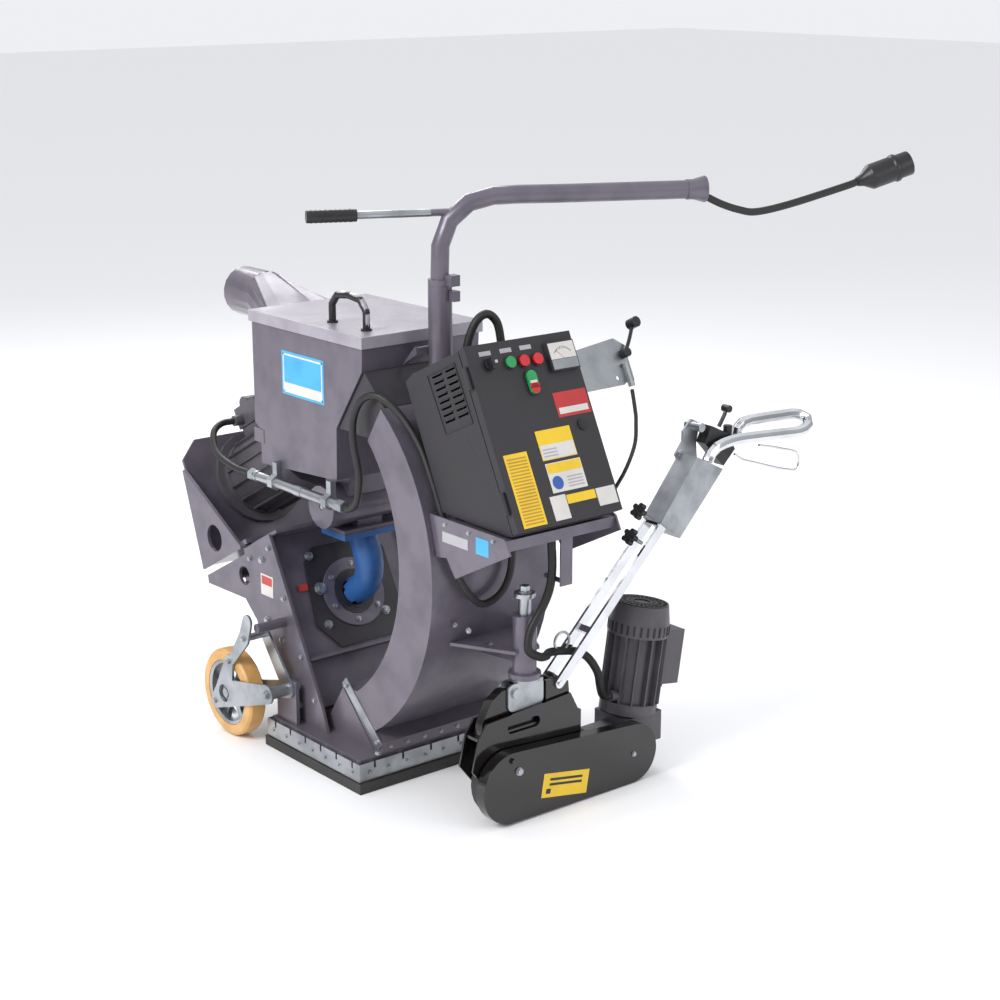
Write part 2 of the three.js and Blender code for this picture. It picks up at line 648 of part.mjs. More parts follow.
// A closed skin between two rings that hold the same number of points.
function skinBetween(ringA, ringB) {
  const sides = ringA.length;
  const middle = (ring) => [0, 1, 2].map((k) => ring.reduce((sum, p) => sum + p[k], 0) / sides);
  const points = [...ringA, ...ringB, middle(ringA), middle(ringB)];
  const index = [];
  for (let i = 0; i < sides; i += 1) {
    const next = (i + 1) % sides;
    index.push(i, sides + i, next, next, sides + i, sides + next);
    index.push(2 * sides, i, next, 2 * sides + 1, sides + next, sides + i);
  }
  const geometry = new THREE.BufferGeometry();
  geometry.setAttribute("position", new THREE.Float32BufferAttribute(points.flat(), 3));
  geometry.setIndex(index);
  return solid(geometry);
}

function buildDustOutlet() {
  const { x0, x1, z, radius, wall } = OUTLET;
  const start = HOPPER.left - GAP;
  const mouth = { halfY: 112, low: 984, high: 1056 };
  const sides = 16;
  // From the rectangular mouth on the hopper to the round spigot.
  const loft = (skin, extra) => {
    const middle = (mouth.low + mouth.high) / 2;
    const halfZ = (mouth.high - mouth.low) / 2 - skin;
    const square = [];
    const round = [];
    for (let i = 0; i < sides; i += 1) {
      const a = ((i + 0.5) / sides) * 2 * Math.PI;
      const [cy, cz] = [Math.cos(a), Math.sin(a)];
      const scale = 1 / Math.max(Math.abs(cy), Math.abs(cz));
      square.push([start + extra, cy * scale * (mouth.halfY - skin), middle + cz * scale * halfZ]);
      round.push([x0 - extra, cy * (radius - skin), z + cz * (radius - skin)]);
    }
    return skinBetween(square, round);
  };
  const pipe = cylinder("x", [0, 0, z], radius, x1, x0 + 1);
  const pipeBore = cylinder("x", [0, 0, z], radius - wall, x1 - 1, x0 + 3);
  const flange = block([start - 4, start], [-124, 124], [976, 1060]);
  const body = cut(join(loft(0, 0), pipe, flange), loft(wall, 1), pipeBore);
  add(machine, "dust_outlet", body, GREY_PAINT);
}

// ---------------------------------------------------------------- cables and their carriers
function buildMotorCable() {
  const { y, z, radius, from, to } = CONDUIT;
  const pipe = cylinder("x", [0, y, z], radius, from, to);
  const bore = cylinder("x", [0, y, z], CABLE_RADIUS + 1.5, from - 1, to + 1);
  const wallSide = -HOPPER.halfWidth - GAP;
  const clamps = CONDUIT.clamps.map((x) =>
    join(
      cylinder("x", [0, y, z], radius + 7, x - 10, x + 10, 6),
      block([x - 9, x + 9], [y, wallSide], [z - 6, z + 50]),
    ),
  );
  add(machine, "cable_conduit", cut(join(pipe, ...clamps), bore), GALVANISED);
  add(machine, "blast_motor_cable", rod(BLAST_CABLE_ROUTE, CABLE_RADIUS, 8, 54), RUBBER);
}

function buildMast() {
  const { radius, bore, low, high } = MAST;
  const tube = cylinder("z", [0, 0, 0], radius, low, high);
  const socket = cylinder("z", [0, 0, 0], bore, high - 120, high + 1);
  // The foot is a wedge that follows the curve of the duct.
  const seat = arc({ ...DUCT.outer, radius: 485.5, from: 43.2, to: 51.3 }, 5);
  const foot = sidePlate([...seat, [10, 932], [60, 932]], -24, 56);
  const { x, y, radius: glandRadius, top } = MAST_GLAND;
  const gland = cylinder("z", [x, y, 0], glandRadius, 925, top);
  const stay = sidePlate([[-66, 992], [-58, 1002], [-16, 1044], [-16, 1022]], -60, -54);
  const stayTie = block([-22, -12], [-60, 0], [1022, 1040]);
  const lug = block([radius - 4, radius + 18], [4, 22], [high - 34, high - 10]);
  const overThroat = sidePlate([[-110, 1025], [4.2, 918.9], [-60, 850]], -200, 200);
  add(
    machine,
    "mast",
    cut(join(tube, foot, gland, stay, stayTie, lug), socket, overThroat),
    GREY_PAINT,
  );

  const { heading, height, reach, bend, lever, leverHeight } = BOOM;
  const away = new THREE.Vector2(Math.cos(rad(heading)), Math.sin(rad(heading)));
  const at = (s, z) => [away.x * s, away.y * s, z];
  const points = [at(0, high - 90), at(0, high), at(0, height - bend)];
  const bendSteps = 5;
  for (let i = 1; i <= bendSteps; i += 1) {
    const a = (i / bendSteps) * (Math.PI / 2);
    points.push(at(bend * (1 - Math.cos(a)), height - bend + bend * Math.sin(a)));
  }
  points.push(at(300, height), at(reach - 60, height), at(reach - 20, height));
  const tubeBody = rod(points, BOOM.radius, 14, 14);
  const collar = cylinder("z", [0, 0, 0], radius, high + GAP, high + 14);
  const stopLug = block([radius - 6, radius + 18], [-4, 22], [high + 1, high + 26]);
  const bell = turned("x", [0, 0, 0], [
    [0, reach - 40],
    [23.5, reach - 40],
    [23.5, reach - 24],
    [30, reach],
    [30, reach + 4],
    [0, reach + 4],
  ]);
  const leverBar = cylinder("x", [0, 0, 0], 8.5, -lever, 42);
  const grip = cylinder("x", [0, 0, 0], 14, -lever - 12, -lever + 100);
  const turn = (z) => new THREE.Matrix4().makeRotationZ(rad(heading)).setPosition(0, 0, z);
  const boom = join(
    tubeBody,
    collar,
    stopLug,
    moved(bell, turn(height)),
    moved(join(leverBar, grip), turn(leverHeight)),
  );
  const cableBore = join(
    cylinder("x", [0, 0, 0], 18, reach - 120, reach - 20),
    cylinder("x", [0, 0, 0], 18, reach - 21, reach + 5, 16, 27),
  );
  add(machine, "cable_boom", cut(boom, moved(cableBore, turn(height))), GREY_PAINT);

  const route = POWER_CABLE_SAG.map(([s, z]) => at(s, z));
  add(machine, "power_cable", rod(route, POWER_CABLE_RADIUS, 8, 26), RUBBER);
  const end = new THREE.Vector3(...route.at(-1));
  const before = new THREE.Vector3(...route.at(-2));
  const along = end.clone().sub(before).normalize();
  const plug = turned("y", [0, 0, 0], [
    [0, GAP],
    [11, GAP],
    [15, 14],
    [26, 30],
    [30, 36],
    [30, 92],
    [33, 96],
    [33, 104],
    [29, 106],
    [29, 138],
    [0, 138],
  ]);
  const facing = new THREE.Quaternion().setFromUnitVectors(new THREE.Vector3(0, 1, 0), along);
  const placed = new THREE.Matrix4().compose(end, facing, new THREE.Vector3(1, 1, 1));
  add(machine, "cable_plug", moved(plug, placed), PLASTIC);
  add(machine, "supply_cable_loop", rod(SUPPLY_LOOP_ROUTE, SUPPLY_RADIUS, 8, 18), RUBBER);
}

// ---------------------------------------------------------------- control cabinet
function buildCabinet() {
  const { sheet, halfWidth } = CASE;
  const forward = [Math.cos(rad(DOOR.lean)), Math.sin(rad(DOOR.lean))];
  const open = 24;
  const corners = [[249, 1083], [86, 1008], [60, 986], [192, 712], [412, 707], [435, 710]];
  const shell = sidePlate(corners, -halfWidth, halfWidth);
  const inner = inset(corners, sheet);
  const pushed = inner.map(([x, z]) => [x + forward[0] * open, z + forward[1] * open]);
  const hollow = [inner, pushed].map((outline) =>
    sidePlate(outline, -halfWidth + sheet, halfWidth - sheet),
  );
  // Two columns of slanted vent slots in the left side.
  const vents = [];
  for (let column = 0; column < 2; column += 1) {
    for (let row = 0; row < 8; row += 1) {
      const x = 158 + column * 46 + row * 6.6;
      const z = 1012 + column * 21 - row * 13.2;
      const slot = [[x, z], [x + 34, z + 15.5], [x + 35.8, z + 12], [x + 1.8, z - 3.5]];
      vents.push(sidePlate(slot, -halfWidth - 1, -halfWidth + sheet + 1));
    }
  }
  add(machine, "cabinet_case", cut(shell, ...hollow, ...vents), TEXTURED_BLACK);

  const back = block([-236, -232.5], [-126, 126], [130, 396]);
  const contactors = [-84, -28, 28, 84].map((y) =>
    block([-233, -170], [y - 22, y + 22], [270, 346]),
  );
  const terminals = block([-233, -205], [-110, 110], [165, 195]);
  add(door, "contactor_panel", join(back, ...contactors, terminals), PLASTIC);
}

function buildDoor() {
  const { halfWidth, height, depth } = DOOR;
  const sheet = 2.5;
  const stem = 10.6;
  const bezel = { outer: 16, bore: 13.8, rise: 3 };
  const slab = block([-depth, 0], [-halfWidth, halfWidth], [2, height]);
  const hollow = block(
    [-depth - 1, -sheet],
    [-halfWidth + sheet, halfWidth - sheet],
    [2 + sheet, height - sheet],
  );
  const rings = [];
  const holes = [];
  for (const [name, { y, w }] of Object.entries(BUTTONS)) {
    holes.push(cylinder("x", [0, y, w], stem + 0.8, -6, 2));
    const tall = name === "double_button" ? 53 : 0;
    const ringOf = (r) => (tall ? roundedBox(y, w, 2 * r, tall + 2 * r - 26, r - 0.5) : null);
    const outer = tall
      ? plate("yz", ringOf(bezel.outer), -1, bezel.rise)
      : cylinder("x", [0, y, w], bezel.outer, -1, bezel.rise);
    const bore = tall
      ? plate("yz", ringOf(bezel.bore), -2, bezel.rise + 1)
      : cylinder("x", [0, y, w], bezel.bore, -2, bezel.rise + 1);
    rings.push(cut(outer, cut(bore, block([-3, -0.001], [y - 40, y + 40], [w - 60, w + 60]))));
  }
  const meter = block([-1, 12], [64, 142], [330, 396]);
  const hinges = [];
  for (const w of [70, 350]) {
    hinges.push(cylinder("z", [-10, -halfWidth - 6, 0], 6, w - 25, w + 25));
    hinges.push(block([-14, -6], [-halfWidth - 5, -halfWidth + 1], [w - 22, w + 22]));
  }
  const lock = cylinder("x", [0, 108, 206], 9, -1, 6);
  const shell = cut(join(cut(slab, hollow), ...rings), ...holes);
  add(door, "cabinet_door", join(shell, meter, ...hinges, lock), TEXTURED_BLACK);

  const looks = {
    selector_knob: PLASTIC,
    start_button: GREEN,
    stop_button_a: RED,
    stop_button_b: RED,
    double_button: PLASTIC,
  };
  for (const [name, { y, w }] of Object.entries(BUTTONS)) {
    const shaft = cylinder("x", [0, y, w], stem, -14, 5);
    let head = cylinder("x", [0, y, w], 13.2, 4.8, 11);
    if (name === "selector_knob") {
      head = join(head, block([10, 22], [y - 4.5, y + 4.5], [w - 13, w + 13]));
    }
    if (name === "double_button") {
      head = plate("yz", roundedBox(y, w, 26.2, 53, 12.5), 4.8, 11);
    }
    add(door, name, join(shaft, head), looks[name]);
  }
}

function buildTray() {
  const side = [
    [163, 706], [187.2, 611], [224, 617], [255, 576], [443, 672], [427, 703], [420, 706],
  ];
  const pieces = [-1, 1].map((s) => sidePlate(side, ...across(s, 156, 161)));
  const shelf = block([215, 426], [-157, 157], [696, 701]);
  const blastHole = block([212, 246], [20, 54], [690, 705]);
  const driveHole = cylinder("z", [390, 0, 0], 13, 690, 705);
  pieces.push(cut(shelf, blastHole, driveHole));
  const lip = sidePlate([[163, 706], [187.2, 611], [192, 612], [168, 707]], -157, 157);
  pieces.push(cut(lip, block([100, 300], [-120, 120], [600, 690])));
  pieces.push(block([418, 426], [-157, 157], [676, 697]));
  for (const s of [-1, 1]) {
    pieces.push(block([250, 400], across(s, 120, 130), [700, 706.6]));
  }
  // A strap under the shelf, with the peg that carries the hose to the drive unit.
  pieces.push(block([404, 408], [14, 48], [560, 698]));
  pieces.push(cylinder("x", [0, 32, 566], 6, 336, 406));
  add(machine, "cabinet_tray", join(...pieces), GREY_PAINT);
}

function buildFeedLever() {
  const { y, w } = FEED_LEVER;
  const bracket = join(
    plate("yz", [[147, 280], [300, 282], [332, 300], [336, 372], [306, 393], [147, 374]], -44, -41),
    block([-60, -41], [146.4, 150], [284, 370]),
    block([-43, -28], [y - 14, y + 2], [286, 322]),
    cylinder("z", [-32, y - 8, 0], 8, 274, 330),
  );
  const holes = [[166, 300], [166, 350], [286, 300]].map(([v, t]) =>
    cylinder("x", [0, v, t], 5, -50, -35),
  );
  add(door, "feed_lever_bracket", cut(bracket, ...holes), GALVANISED);
  const lever = join(
    cylinder("x", [0, y, w], 11, -40.6, -20),
    rod([[-30, y, w], [-30, y + 24, w + 30], [-30, y + 42, w + 56]], 4.5, 8, 6),
    cylinder("x", [0, y + 50, w + 66], 13, -43, -17),
  );
  add(door, "feed_lever", lever, PLASTIC);
  add(machine, "feed_cable", rod(FEED_CABLE_ROUTE, FEED_CABLE_RADIUS, 6, 40), RUBBER);
}

// ---------------------------------------------------------------- steerable drive unit
function buildKingpin() {
  const { x, radius, tube, tubeLow, tubeHigh, top } = KINGPIN;
  const plateHeight = [384, 392];
  const body = join(
    cylinder("z", [x, 0, 0], tube, tubeLow, tubeHigh),
    cylinder("z", [x, 0, 0], 38, tubeLow - 12, tubeLow + 1),
    plate("xy", [[167.2, -110], [x + 10, -36], [x + 10, 36], [167.2, 110]], ...plateHeight),
    sidePlate([[148.5, 340], [x - 10, 352], [x - 10, 386], [167.4, 386]], -5, 5),
  );
  const bore = cylinder("z", [x, 0, 0], radius + 1, tubeLow - 14, tubeHigh + 2);
  const shackleHole = cylinder("z", [232, -44, 0], 9, 380, 396);
  add(machine, "kingpin_bracket", cut(body, bore, shackleHole), GREY_PAINT);

  // The yoke turns in the tube and straddles the pod of the drive frame.
  const { y, z, radius: pin } = PITCH_PIN;
  const cheek = { thick: 5, gap: 0.5 };
  const left = [POD.x0 - cheek.gap - cheek.thick, POD.x0 - cheek.gap];
  const right = [POD.x1 + cheek.gap, POD.x1 + cheek.gap + cheek.thick];
  const outline = roundedBox(-10, 286, 104, 66, 16);
  const yoke = join(
    cylinder("z", [x, 0, 0], radius, 312, 528),
    cylinder("z", [x, 0, 0], 25, 514, 524),
    cylinder("z", [x, 0, 0], 12, 524, top, 6),
    cylinder("z", [x, 0, 0], 34, 315.5, tubeLow - 12 - GAP),
    block([left[0], right[1]], [-18, 41], [306, 316.5]),
    plate("yz", outline, ...left),
    plate("yz", outline, ...right),
    cylinder("x", [0, y, z], pin, left[0] - 2, right[1] + 6),
  );
  add(machine, "kingpin_yoke", yoke, GALVANISED);
}

function buildDriveFrame() {
  const { x0, x1, sheet } = FORK;
  const cheekOutline = [
    [-136, 96], [-172, 141], [-154, 216], [-131, 246], [118, 262], [150, 200],
    [150, 96], [40, 60], [-90, 60],
  ];
  const cheeks = [[x0, x0 + sheet], [x1 - sheet, x1]].map(([a, b]) =>
    plate("yz", cheekOutline, a, b),
  );
  const roof = block([x0, x1], [-152, 140], [207, 214]);
  const tail = block([x0, x1], [136, 150], [100, 214]);
  const beam = block([x0 + sheet, x1 - sheet], [140, GEARBOX.y0 - GAP], [96, 132]);
  const podOutline = [
    [-138, 212], [-131, 246], [-107, 289], [-77, 308], [-22, 311], [-22, 299], [46, 299],
    [118, 267], [140, 212],
  ];
  const pod = plate("yz", podOutline, POD.x0, POD.x1);
  const earOutline = [[48, 210], [48, 306], [96, 306], [116, 290], [124, 210]];
  const ears = [[POD.x0 - 7, POD.x0 + 1], [POD.x1 - 1, POD.x1 + 7]].map(([a, b]) =>
    plate("yz", earOutline, a, b),
  );
  const through = [x0 - 2, x1 + 2];
  const body = join(...cheeks, roof, tail, beam, pod, ...ears);
  const slot = plate("yz", roundedBox(-23, 219, 96, 26, 12.9), x1 - sheet - 1, x1 + 2);
  const bores = [
    cylinder("x", [0, PITCH_PIN.y, PITCH_PIN.z], PITCH_PIN.radius + 0.5, ...through),
    cylinder("x", [0, DRIVE.wheelY, DRIVE.wheelZ], 11, ...through),
    cylinder("x", [0, TILLER.y, TILLER.z], 7.6, ...through),
  ];
  add(machine, "drive_frame", cut(body, ...bores, slot), BLACK_PAINT);
}

function buildDriveWheel() {
  const { wheelY: y, wheelZ: z, wheelRadius, wheelWidth } = DRIVE;
  const half = wheelWidth / 2;
  const tyreBore = 54;
  const tyre = turned(
    "x",
    [KINGPIN.x, y, z],
    [
      [tyreBore, -half], [wheelRadius - 4, -half], [wheelRadius, -half + 5],
      [wheelRadius, half - 5], [wheelRadius - 4, half], [tyreBore, half], [tyreBore, -half],
    ],
    28,
  );
  add(machine, "drive_tyre", tyre, RUBBER);
  const x = KINGPIN.x;
  const hub = join(
    cylinder("x", [0, y, z], tyreBore - 4 * GAP, x - 12, x + 12),
    cylinder("x", [0, y, z], 26, x - 18, x + 18),
    cylinder("x", [0, y, z], 10, 268, 352),
    cylinder("x", [0, y, z], 50, 343, 350),
  );
  add(machine, "drive_hub", hub, STEEL);
}

function buildDrive() {
  const { x0, x1, sheet, big, small } = COVER;
  const smaller = ([y, z, r]) => [y, z, r - sheet];
  const shell = cut(
    plate("yz", stadium(big, small), x0, x1, 18),
    plate("yz", stadium(smaller(big), smaller(small)), x0 - 1, x1 - sheet, 18),
  );
  const nut = cylinder("x", [0, -84, 157], 7, x1 - sheet, x1 + 6, 6);
  add(machine, "chain_cover", join(shell, nut), BLACK_PAINT);

  const box = GEARBOX;
  const gearbox = join(
    block([box.x0, box.x1], [box.y0, box.y1], [box.z0, box.z1]),
    block([214, box.x1], [296, 412], [72, box.motorTop]),
    cylinder("x", [0, small[0], small[1]], 16, box.x1 - 1, 352),
    cylinder("x", [0, small[0], small[1]], 36, 343, 350),
  );
  add(machine, "drive_gearbox", gearbox, MOTOR_BLACK);

  const { foot, lean: tilt, radius, fins, cowl } = DRIVE_MOTOR;
  const pieces = [
    cylinder("z", [0, 0, 0], 70, -16, 12),
    cylinder("z", [0, 0, 0], radius, 10, 178),
    cylinder("z", [0, 0, 0], cowl, 176, 206),
    cylinder("z", [0, 0, 0], cowl, 205, 252, 28, 66),
    block([-46, 46], [50, 112], [56, 190]),
    cylinder("z", [0, 96, 0], 9, 36, 58),
    cylinder("y", [18, 0, 30], 13, -84, -50),
  ];
  const finCount = 14;
  for (let i = 0; i < finCount; i += 1) {
    const fin = new THREE.BoxGeometry(3.5, fins - radius + 3, 166);
    fin.translate(0, (fins + radius - 3) / 2, 94);
    fin.rotateZ((i * 2 * Math.PI) / finCount);
    pieces.push(solid(fin));
  }
  const stand = new THREE.Matrix4().makeRotationX(-rad(tilt)).setPosition(...foot);
  const seat = block([200, 340], [280, 430], [60, box.motorTop + GAP]);
  add(machine, "drive_motor", cut(moved(join(...pieces), stand), seat), MOTOR_GREY);
  add(machine, "drive_cable", rod(DRIVE_CABLE_ROUTE, HOSE_RADIUS, 8, 36), RUBBER);
}

// ---------------------------------------------------------------- tiller
// A point of the tiller as [y, z].
function tillerPoint(s, p) {
  const a = rad(TILLER.angle);
  return [
    TILLER.y + s * Math.cos(a) - p * Math.sin(a),
    TILLER.z + s * Math.sin(a) + p * Math.cos(a),
  ];
}

const tillerPlate = (corners, x0, x1) =>
  plate("yz", corners.map(([s, p]) => tillerPoint(s, p)), x0, x1);
const tillerBox = ([s0, s1], [p0, p1], [x0, x1]) =>
  tillerPlate([[s0, p0], [s1, p0], [s1, p1], [s0, p1]], x0, x1);

function buildTiller() {
  const { y, z, halfWidth, length } = TILLER;
  const [back, front] = TILLER_BARS;
  const pieces = TILLER_BARS.flatMap((bar) => [
    tillerBox([0, length], [-halfWidth, halfWidth], bar),
    cylinder("x", [0, y, z], halfWidth, ...bar),
  ]);
  const between = [back[1] - 1, front[0] + 1];
  pieces.push(cylinder("x", [0, y, z], 7, back[0] - 4, front[1] + 4));
  pieces.push(tillerBox([134, 150], [-8, 8], between));
  pieces.push(tillerBox([560, 598], [-10, 10], between));
  add(machine, "tiller_tube", join(...pieces), CHROME);

  const { x0, x1 } = TILLER_BOX;
  const wedge = tillerPlate([[446, 16], [456, -64], [658, -58], [627, 34]], x0, x1);
  const bore = tillerBox(
    [430, 612],
    [-halfWidth - 0.6, halfWidth + 0.6],
    [back[0] - 0.6, front[1] + 0.6],
  );
  const bracket = plate(
    "yz",
    [
      [486, 757], [510, 788], [510, 812], [538, 838], [566, 824], [556, 775],
      [560, 735], [500, 735],
    ],
    x0,
    x0 + 5,
  );
  const post = cylinder("x", [0, 540, 822], 11, x0 - 12, x0 + 40);
  add(machine, "tiller_head", cut(join(wedge, bracket, post), bore), GALVANISED);

  const housing = plate(
    "yz",
    [[552, 782], [572, 822], [628, 796], [656, 752], [618, 716], [600, 732]],
    x0 + 8,
    x1 - 24,
  );
  const button = cylinder("z", [x0 + 26, 640, 0], 11, 776, 811);
  add(machine, "control_box", join(housing, button), PLASTIC);
}

function buildHandle() {
  const loop = rod(
    [
      [325, 546, 742], [325, 554, 757], [325, 575, 772], [325, 628, 780], [325, 700, 777],
      [325, 800, 770], [325, 866, 767], [320, 900, 776], [306, 908, 792], [294, 884, 802],
      [291, 820, 806], [291, 750, 809], [291, 700, 808], [291, 680, 796], [291, 676, 774],
    ],
    HANDLE_RADIUS,
    8,
    30,
  );
  add(machine, "handlebar", loop, CHROME);
  // The dead-man bail, a wire loop under the handle.
  const bail = rod(
    [
      [322, 640, 744], [322, 664, 728], [322, 710, 712], [322, 820, 677], [322, 862, 670],
      [322, 870, 684], [322, 866, 708], [322, 800, 733], [322, 724, 753],
    ],
    3.2,
    8,
    30,
  );
  add(machine, "brake_bail", bail, CHROME);
  const toggle = join(
    rod([[285, 622, 808], [285, 638, 831], [285, 646, 846]], 5, 8, 4),
    cylinder("x", [0, 647, 849], 9, 274, 296),
  );
  add(machine, "speed_lever", toggle, PLASTIC);
}

// ---------------------------------------------------------------- rear wheels
function buildRearWheel(name, side) {
  const { x, z, radius, rim, width, y, axle } = REAR_WHEEL;
  const { x: pinX, z: pinZ, radius: pin } = ARM_PIN;
  const half = width / 2;
  // Outlines drawn with [x, z] centres; the plane takes them as [z, x].
  const lobe = ([x1, z1, r1], [x2, z2, r2]) => stadium([z1, x1, r1], [z2, x2, r2]);
  const outer = across(side, y + half + 2, y + half + 8);
  const inner = across(side, 233, 239);
  const outerPlates = [
    lobe([pinX, pinZ, 24], [x, z, 36]),
    lobe([x, z, 36], [-484, 205, 18]),
    lobe([x, z, 36], [-556, 80, 18]),
    lobe([-470, 214, 12], [-411, 285, 20]),
    lobe([-411, 285, 20], [-394, 332, 18]),
  ].map((shape) => plate("zx", shape, ...outer, 4));
  const window = cylinder("y", [x, 0, z], 23, -320, 320);
  const innerPlates = [
    lobe([pinX, pinZ, 22], [x, z, 22]),
    lobe([pinX, pinZ, 22], [-411, 285, 18]),
  ].map((shape) => plate("zx", shape, ...inner, 4));
  const arm = join(
    cut(join(...outerPlates), window),
    ...innerPlates,
    cylinder("y", [pinX, 0, pinZ], pin, ...across(side, 206, 240)),
    cylinder("y", [pinX, 0, pinZ], 15, ...across(side, 234, y + half + 7)),
    cylinder("y", [-411, 0, 285], 9, ...across(side, 234, y + half + 7)),
    cylinder("y", [x, 0, z], axle, ...across(side, 234, y + half + 4)),
  );
  add(machine, `wheel_arm_${name}`, arm, GALVANISED);

  const at = [x, side * y, z];
  const tyre = turned(
    "y",
    at,
    [
      [rim, -half], [radius - 7, -half], [radius - 1, -half + 6], [radius, 0],
      [radius - 1, half - 6], [radius - 7, half], [rim, half], [rim, -half],
    ],
    28,
  );
  add(machine, `rear_tyre_${name}`, tyre, AMBER);
  const rimEdge = rim - 0.6;
  const ring = turned(
    "y",
    at,
    [[rim - 9, -half + 4], [rimEdge, -half + 1], [rimEdge, half - 1], [rim - 9, half - 4],
      [rim - 9, -half + 4]],
    24,
  );
  const pieces = [ring, cylinder("y", [x, 0, z], 27, side * y - half + 1, side * y + half - 1)];
  const spokes = 6;
  for (let i = 0; i < spokes; i += 1) {
    const spoke = new THREE.BoxGeometry(rim - 26, 12, 18);
    spoke.translate((rim + 18) / 2, 0, 0);
    spoke.rotateY((i * 2 * Math.PI) / spokes);
    pieces.push(solid(spoke.translate(...at)));
  }
  const hubBore = cylinder("y", [x, 0, z], axle + 0.5, -320, 320);
  add(machine, `rear_rim_${name}`, cut(join(...pieces), hubBore), ALUMINIUM);
}

buildSeal();
buildBase();
buildHousing();
buildAccessPlate();
buildBlastWheel();
buildMotor();
buildMotorMount();
buildBelt();
buildFeed();
buildHopper(buildDuct());
buildLid();
buildDustOutlet();
buildMotorCable();
buildMast();
buildCabinet();
buildDoor();
buildTray();
buildFeedLever();
buildKingpin();
buildDriveFrame();
buildDriveWheel();
buildDrive();
buildTiller();
buildHandle();
buildRearWheel("left", -1);
buildRearWheel("right", 1);

export default machine;
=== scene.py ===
"""Walk-behind shot blaster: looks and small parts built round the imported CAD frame."""

from __future__ import annotations

import json
import logging
import math
from dataclasses import dataclass, field
from enum import Enum
from typing import ClassVar, Iterable, Sequence

import bmesh
import bpy
from mathutils import Matrix, Vector

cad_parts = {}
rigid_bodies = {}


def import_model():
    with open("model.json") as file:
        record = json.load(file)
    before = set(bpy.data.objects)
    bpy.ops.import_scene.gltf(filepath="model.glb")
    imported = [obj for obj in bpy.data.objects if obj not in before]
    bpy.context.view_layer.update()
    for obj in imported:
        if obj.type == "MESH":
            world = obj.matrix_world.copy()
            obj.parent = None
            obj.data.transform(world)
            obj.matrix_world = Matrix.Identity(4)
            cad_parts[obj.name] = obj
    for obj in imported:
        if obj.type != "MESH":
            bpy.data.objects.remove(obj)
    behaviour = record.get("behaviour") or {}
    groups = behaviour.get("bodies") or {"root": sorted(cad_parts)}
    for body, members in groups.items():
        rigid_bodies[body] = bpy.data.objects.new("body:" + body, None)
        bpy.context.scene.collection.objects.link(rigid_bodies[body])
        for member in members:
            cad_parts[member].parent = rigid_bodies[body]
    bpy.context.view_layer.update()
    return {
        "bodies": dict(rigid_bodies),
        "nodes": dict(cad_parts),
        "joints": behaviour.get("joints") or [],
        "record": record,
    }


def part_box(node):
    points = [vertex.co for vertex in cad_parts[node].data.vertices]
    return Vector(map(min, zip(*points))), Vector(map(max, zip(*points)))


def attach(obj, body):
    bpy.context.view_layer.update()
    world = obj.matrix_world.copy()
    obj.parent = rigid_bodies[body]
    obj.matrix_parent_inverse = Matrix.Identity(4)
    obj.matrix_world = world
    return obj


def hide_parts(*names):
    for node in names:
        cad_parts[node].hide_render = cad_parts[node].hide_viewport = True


LOG = logging.getLogger("shot_blaster")
MM = 0.001
SIDE_PLATE_Y = 204.0
DOOR_PLATE_LIFT = 0.25
Point = Sequence[float]
Socket = bpy.types.NodeSocket


# ------------------------------------------------------------------ colours and finishes
def linear(hex_colour: str) -> tuple[float, float, float, float]:
    """Turns an sRGB hex colour into linear RGBA.

    Args:
        hex_colour: six hex digits with a leading hash.

    Returns:
        Linear red, green, blue and an alpha of 1.
    """
    channels = [int(hex_colour[i : i + 2], 16) / 255 for i in (1, 3, 5)]
    lin = [c / 12.92 if c <= 0.04045 else ((c + 0.055) / 1.055) ** 2.4 for c in channels]
    return (lin[0], lin[1], lin[2], 1.0)


def add_node(
    tree: bpy.types.NodeTree,
    kind: str,
    inputs: dict[str | int, object] | None = None,
    **settings: object,
) -> bpy.types.Node:
    """Adds one node with its settings, values and links.

    Args:
        tree: node tree that gets the node.
        kind: Blender's name of the node type.
        inputs: value or source socket for each input, by name or place.
        settings: properties of the node, set before its inputs.

    Returns:
        The new node.
    """
    node = tree.nodes.new(kind)
    for key, value in settings.items():
        setattr(node, key, value)
    for key, value in (inputs or {}).items():
        if isinstance(value, Socket):
            tree.links.new(value, node.inputs[key])
        else:
            node.inputs[key].default_value = value
    return node


class Surface(Enum):
    """How the fine relief of a finish is made."""

    ORANGE_PEEL = "sprayed paint"
    TEXTURED = "coarse powder coat"
    SPANGLE = "zinc plating"
    TURNED = "machined or polished metal"
    MOULDED = "moulded rubber or plastic"
    CAST = "sand casting"


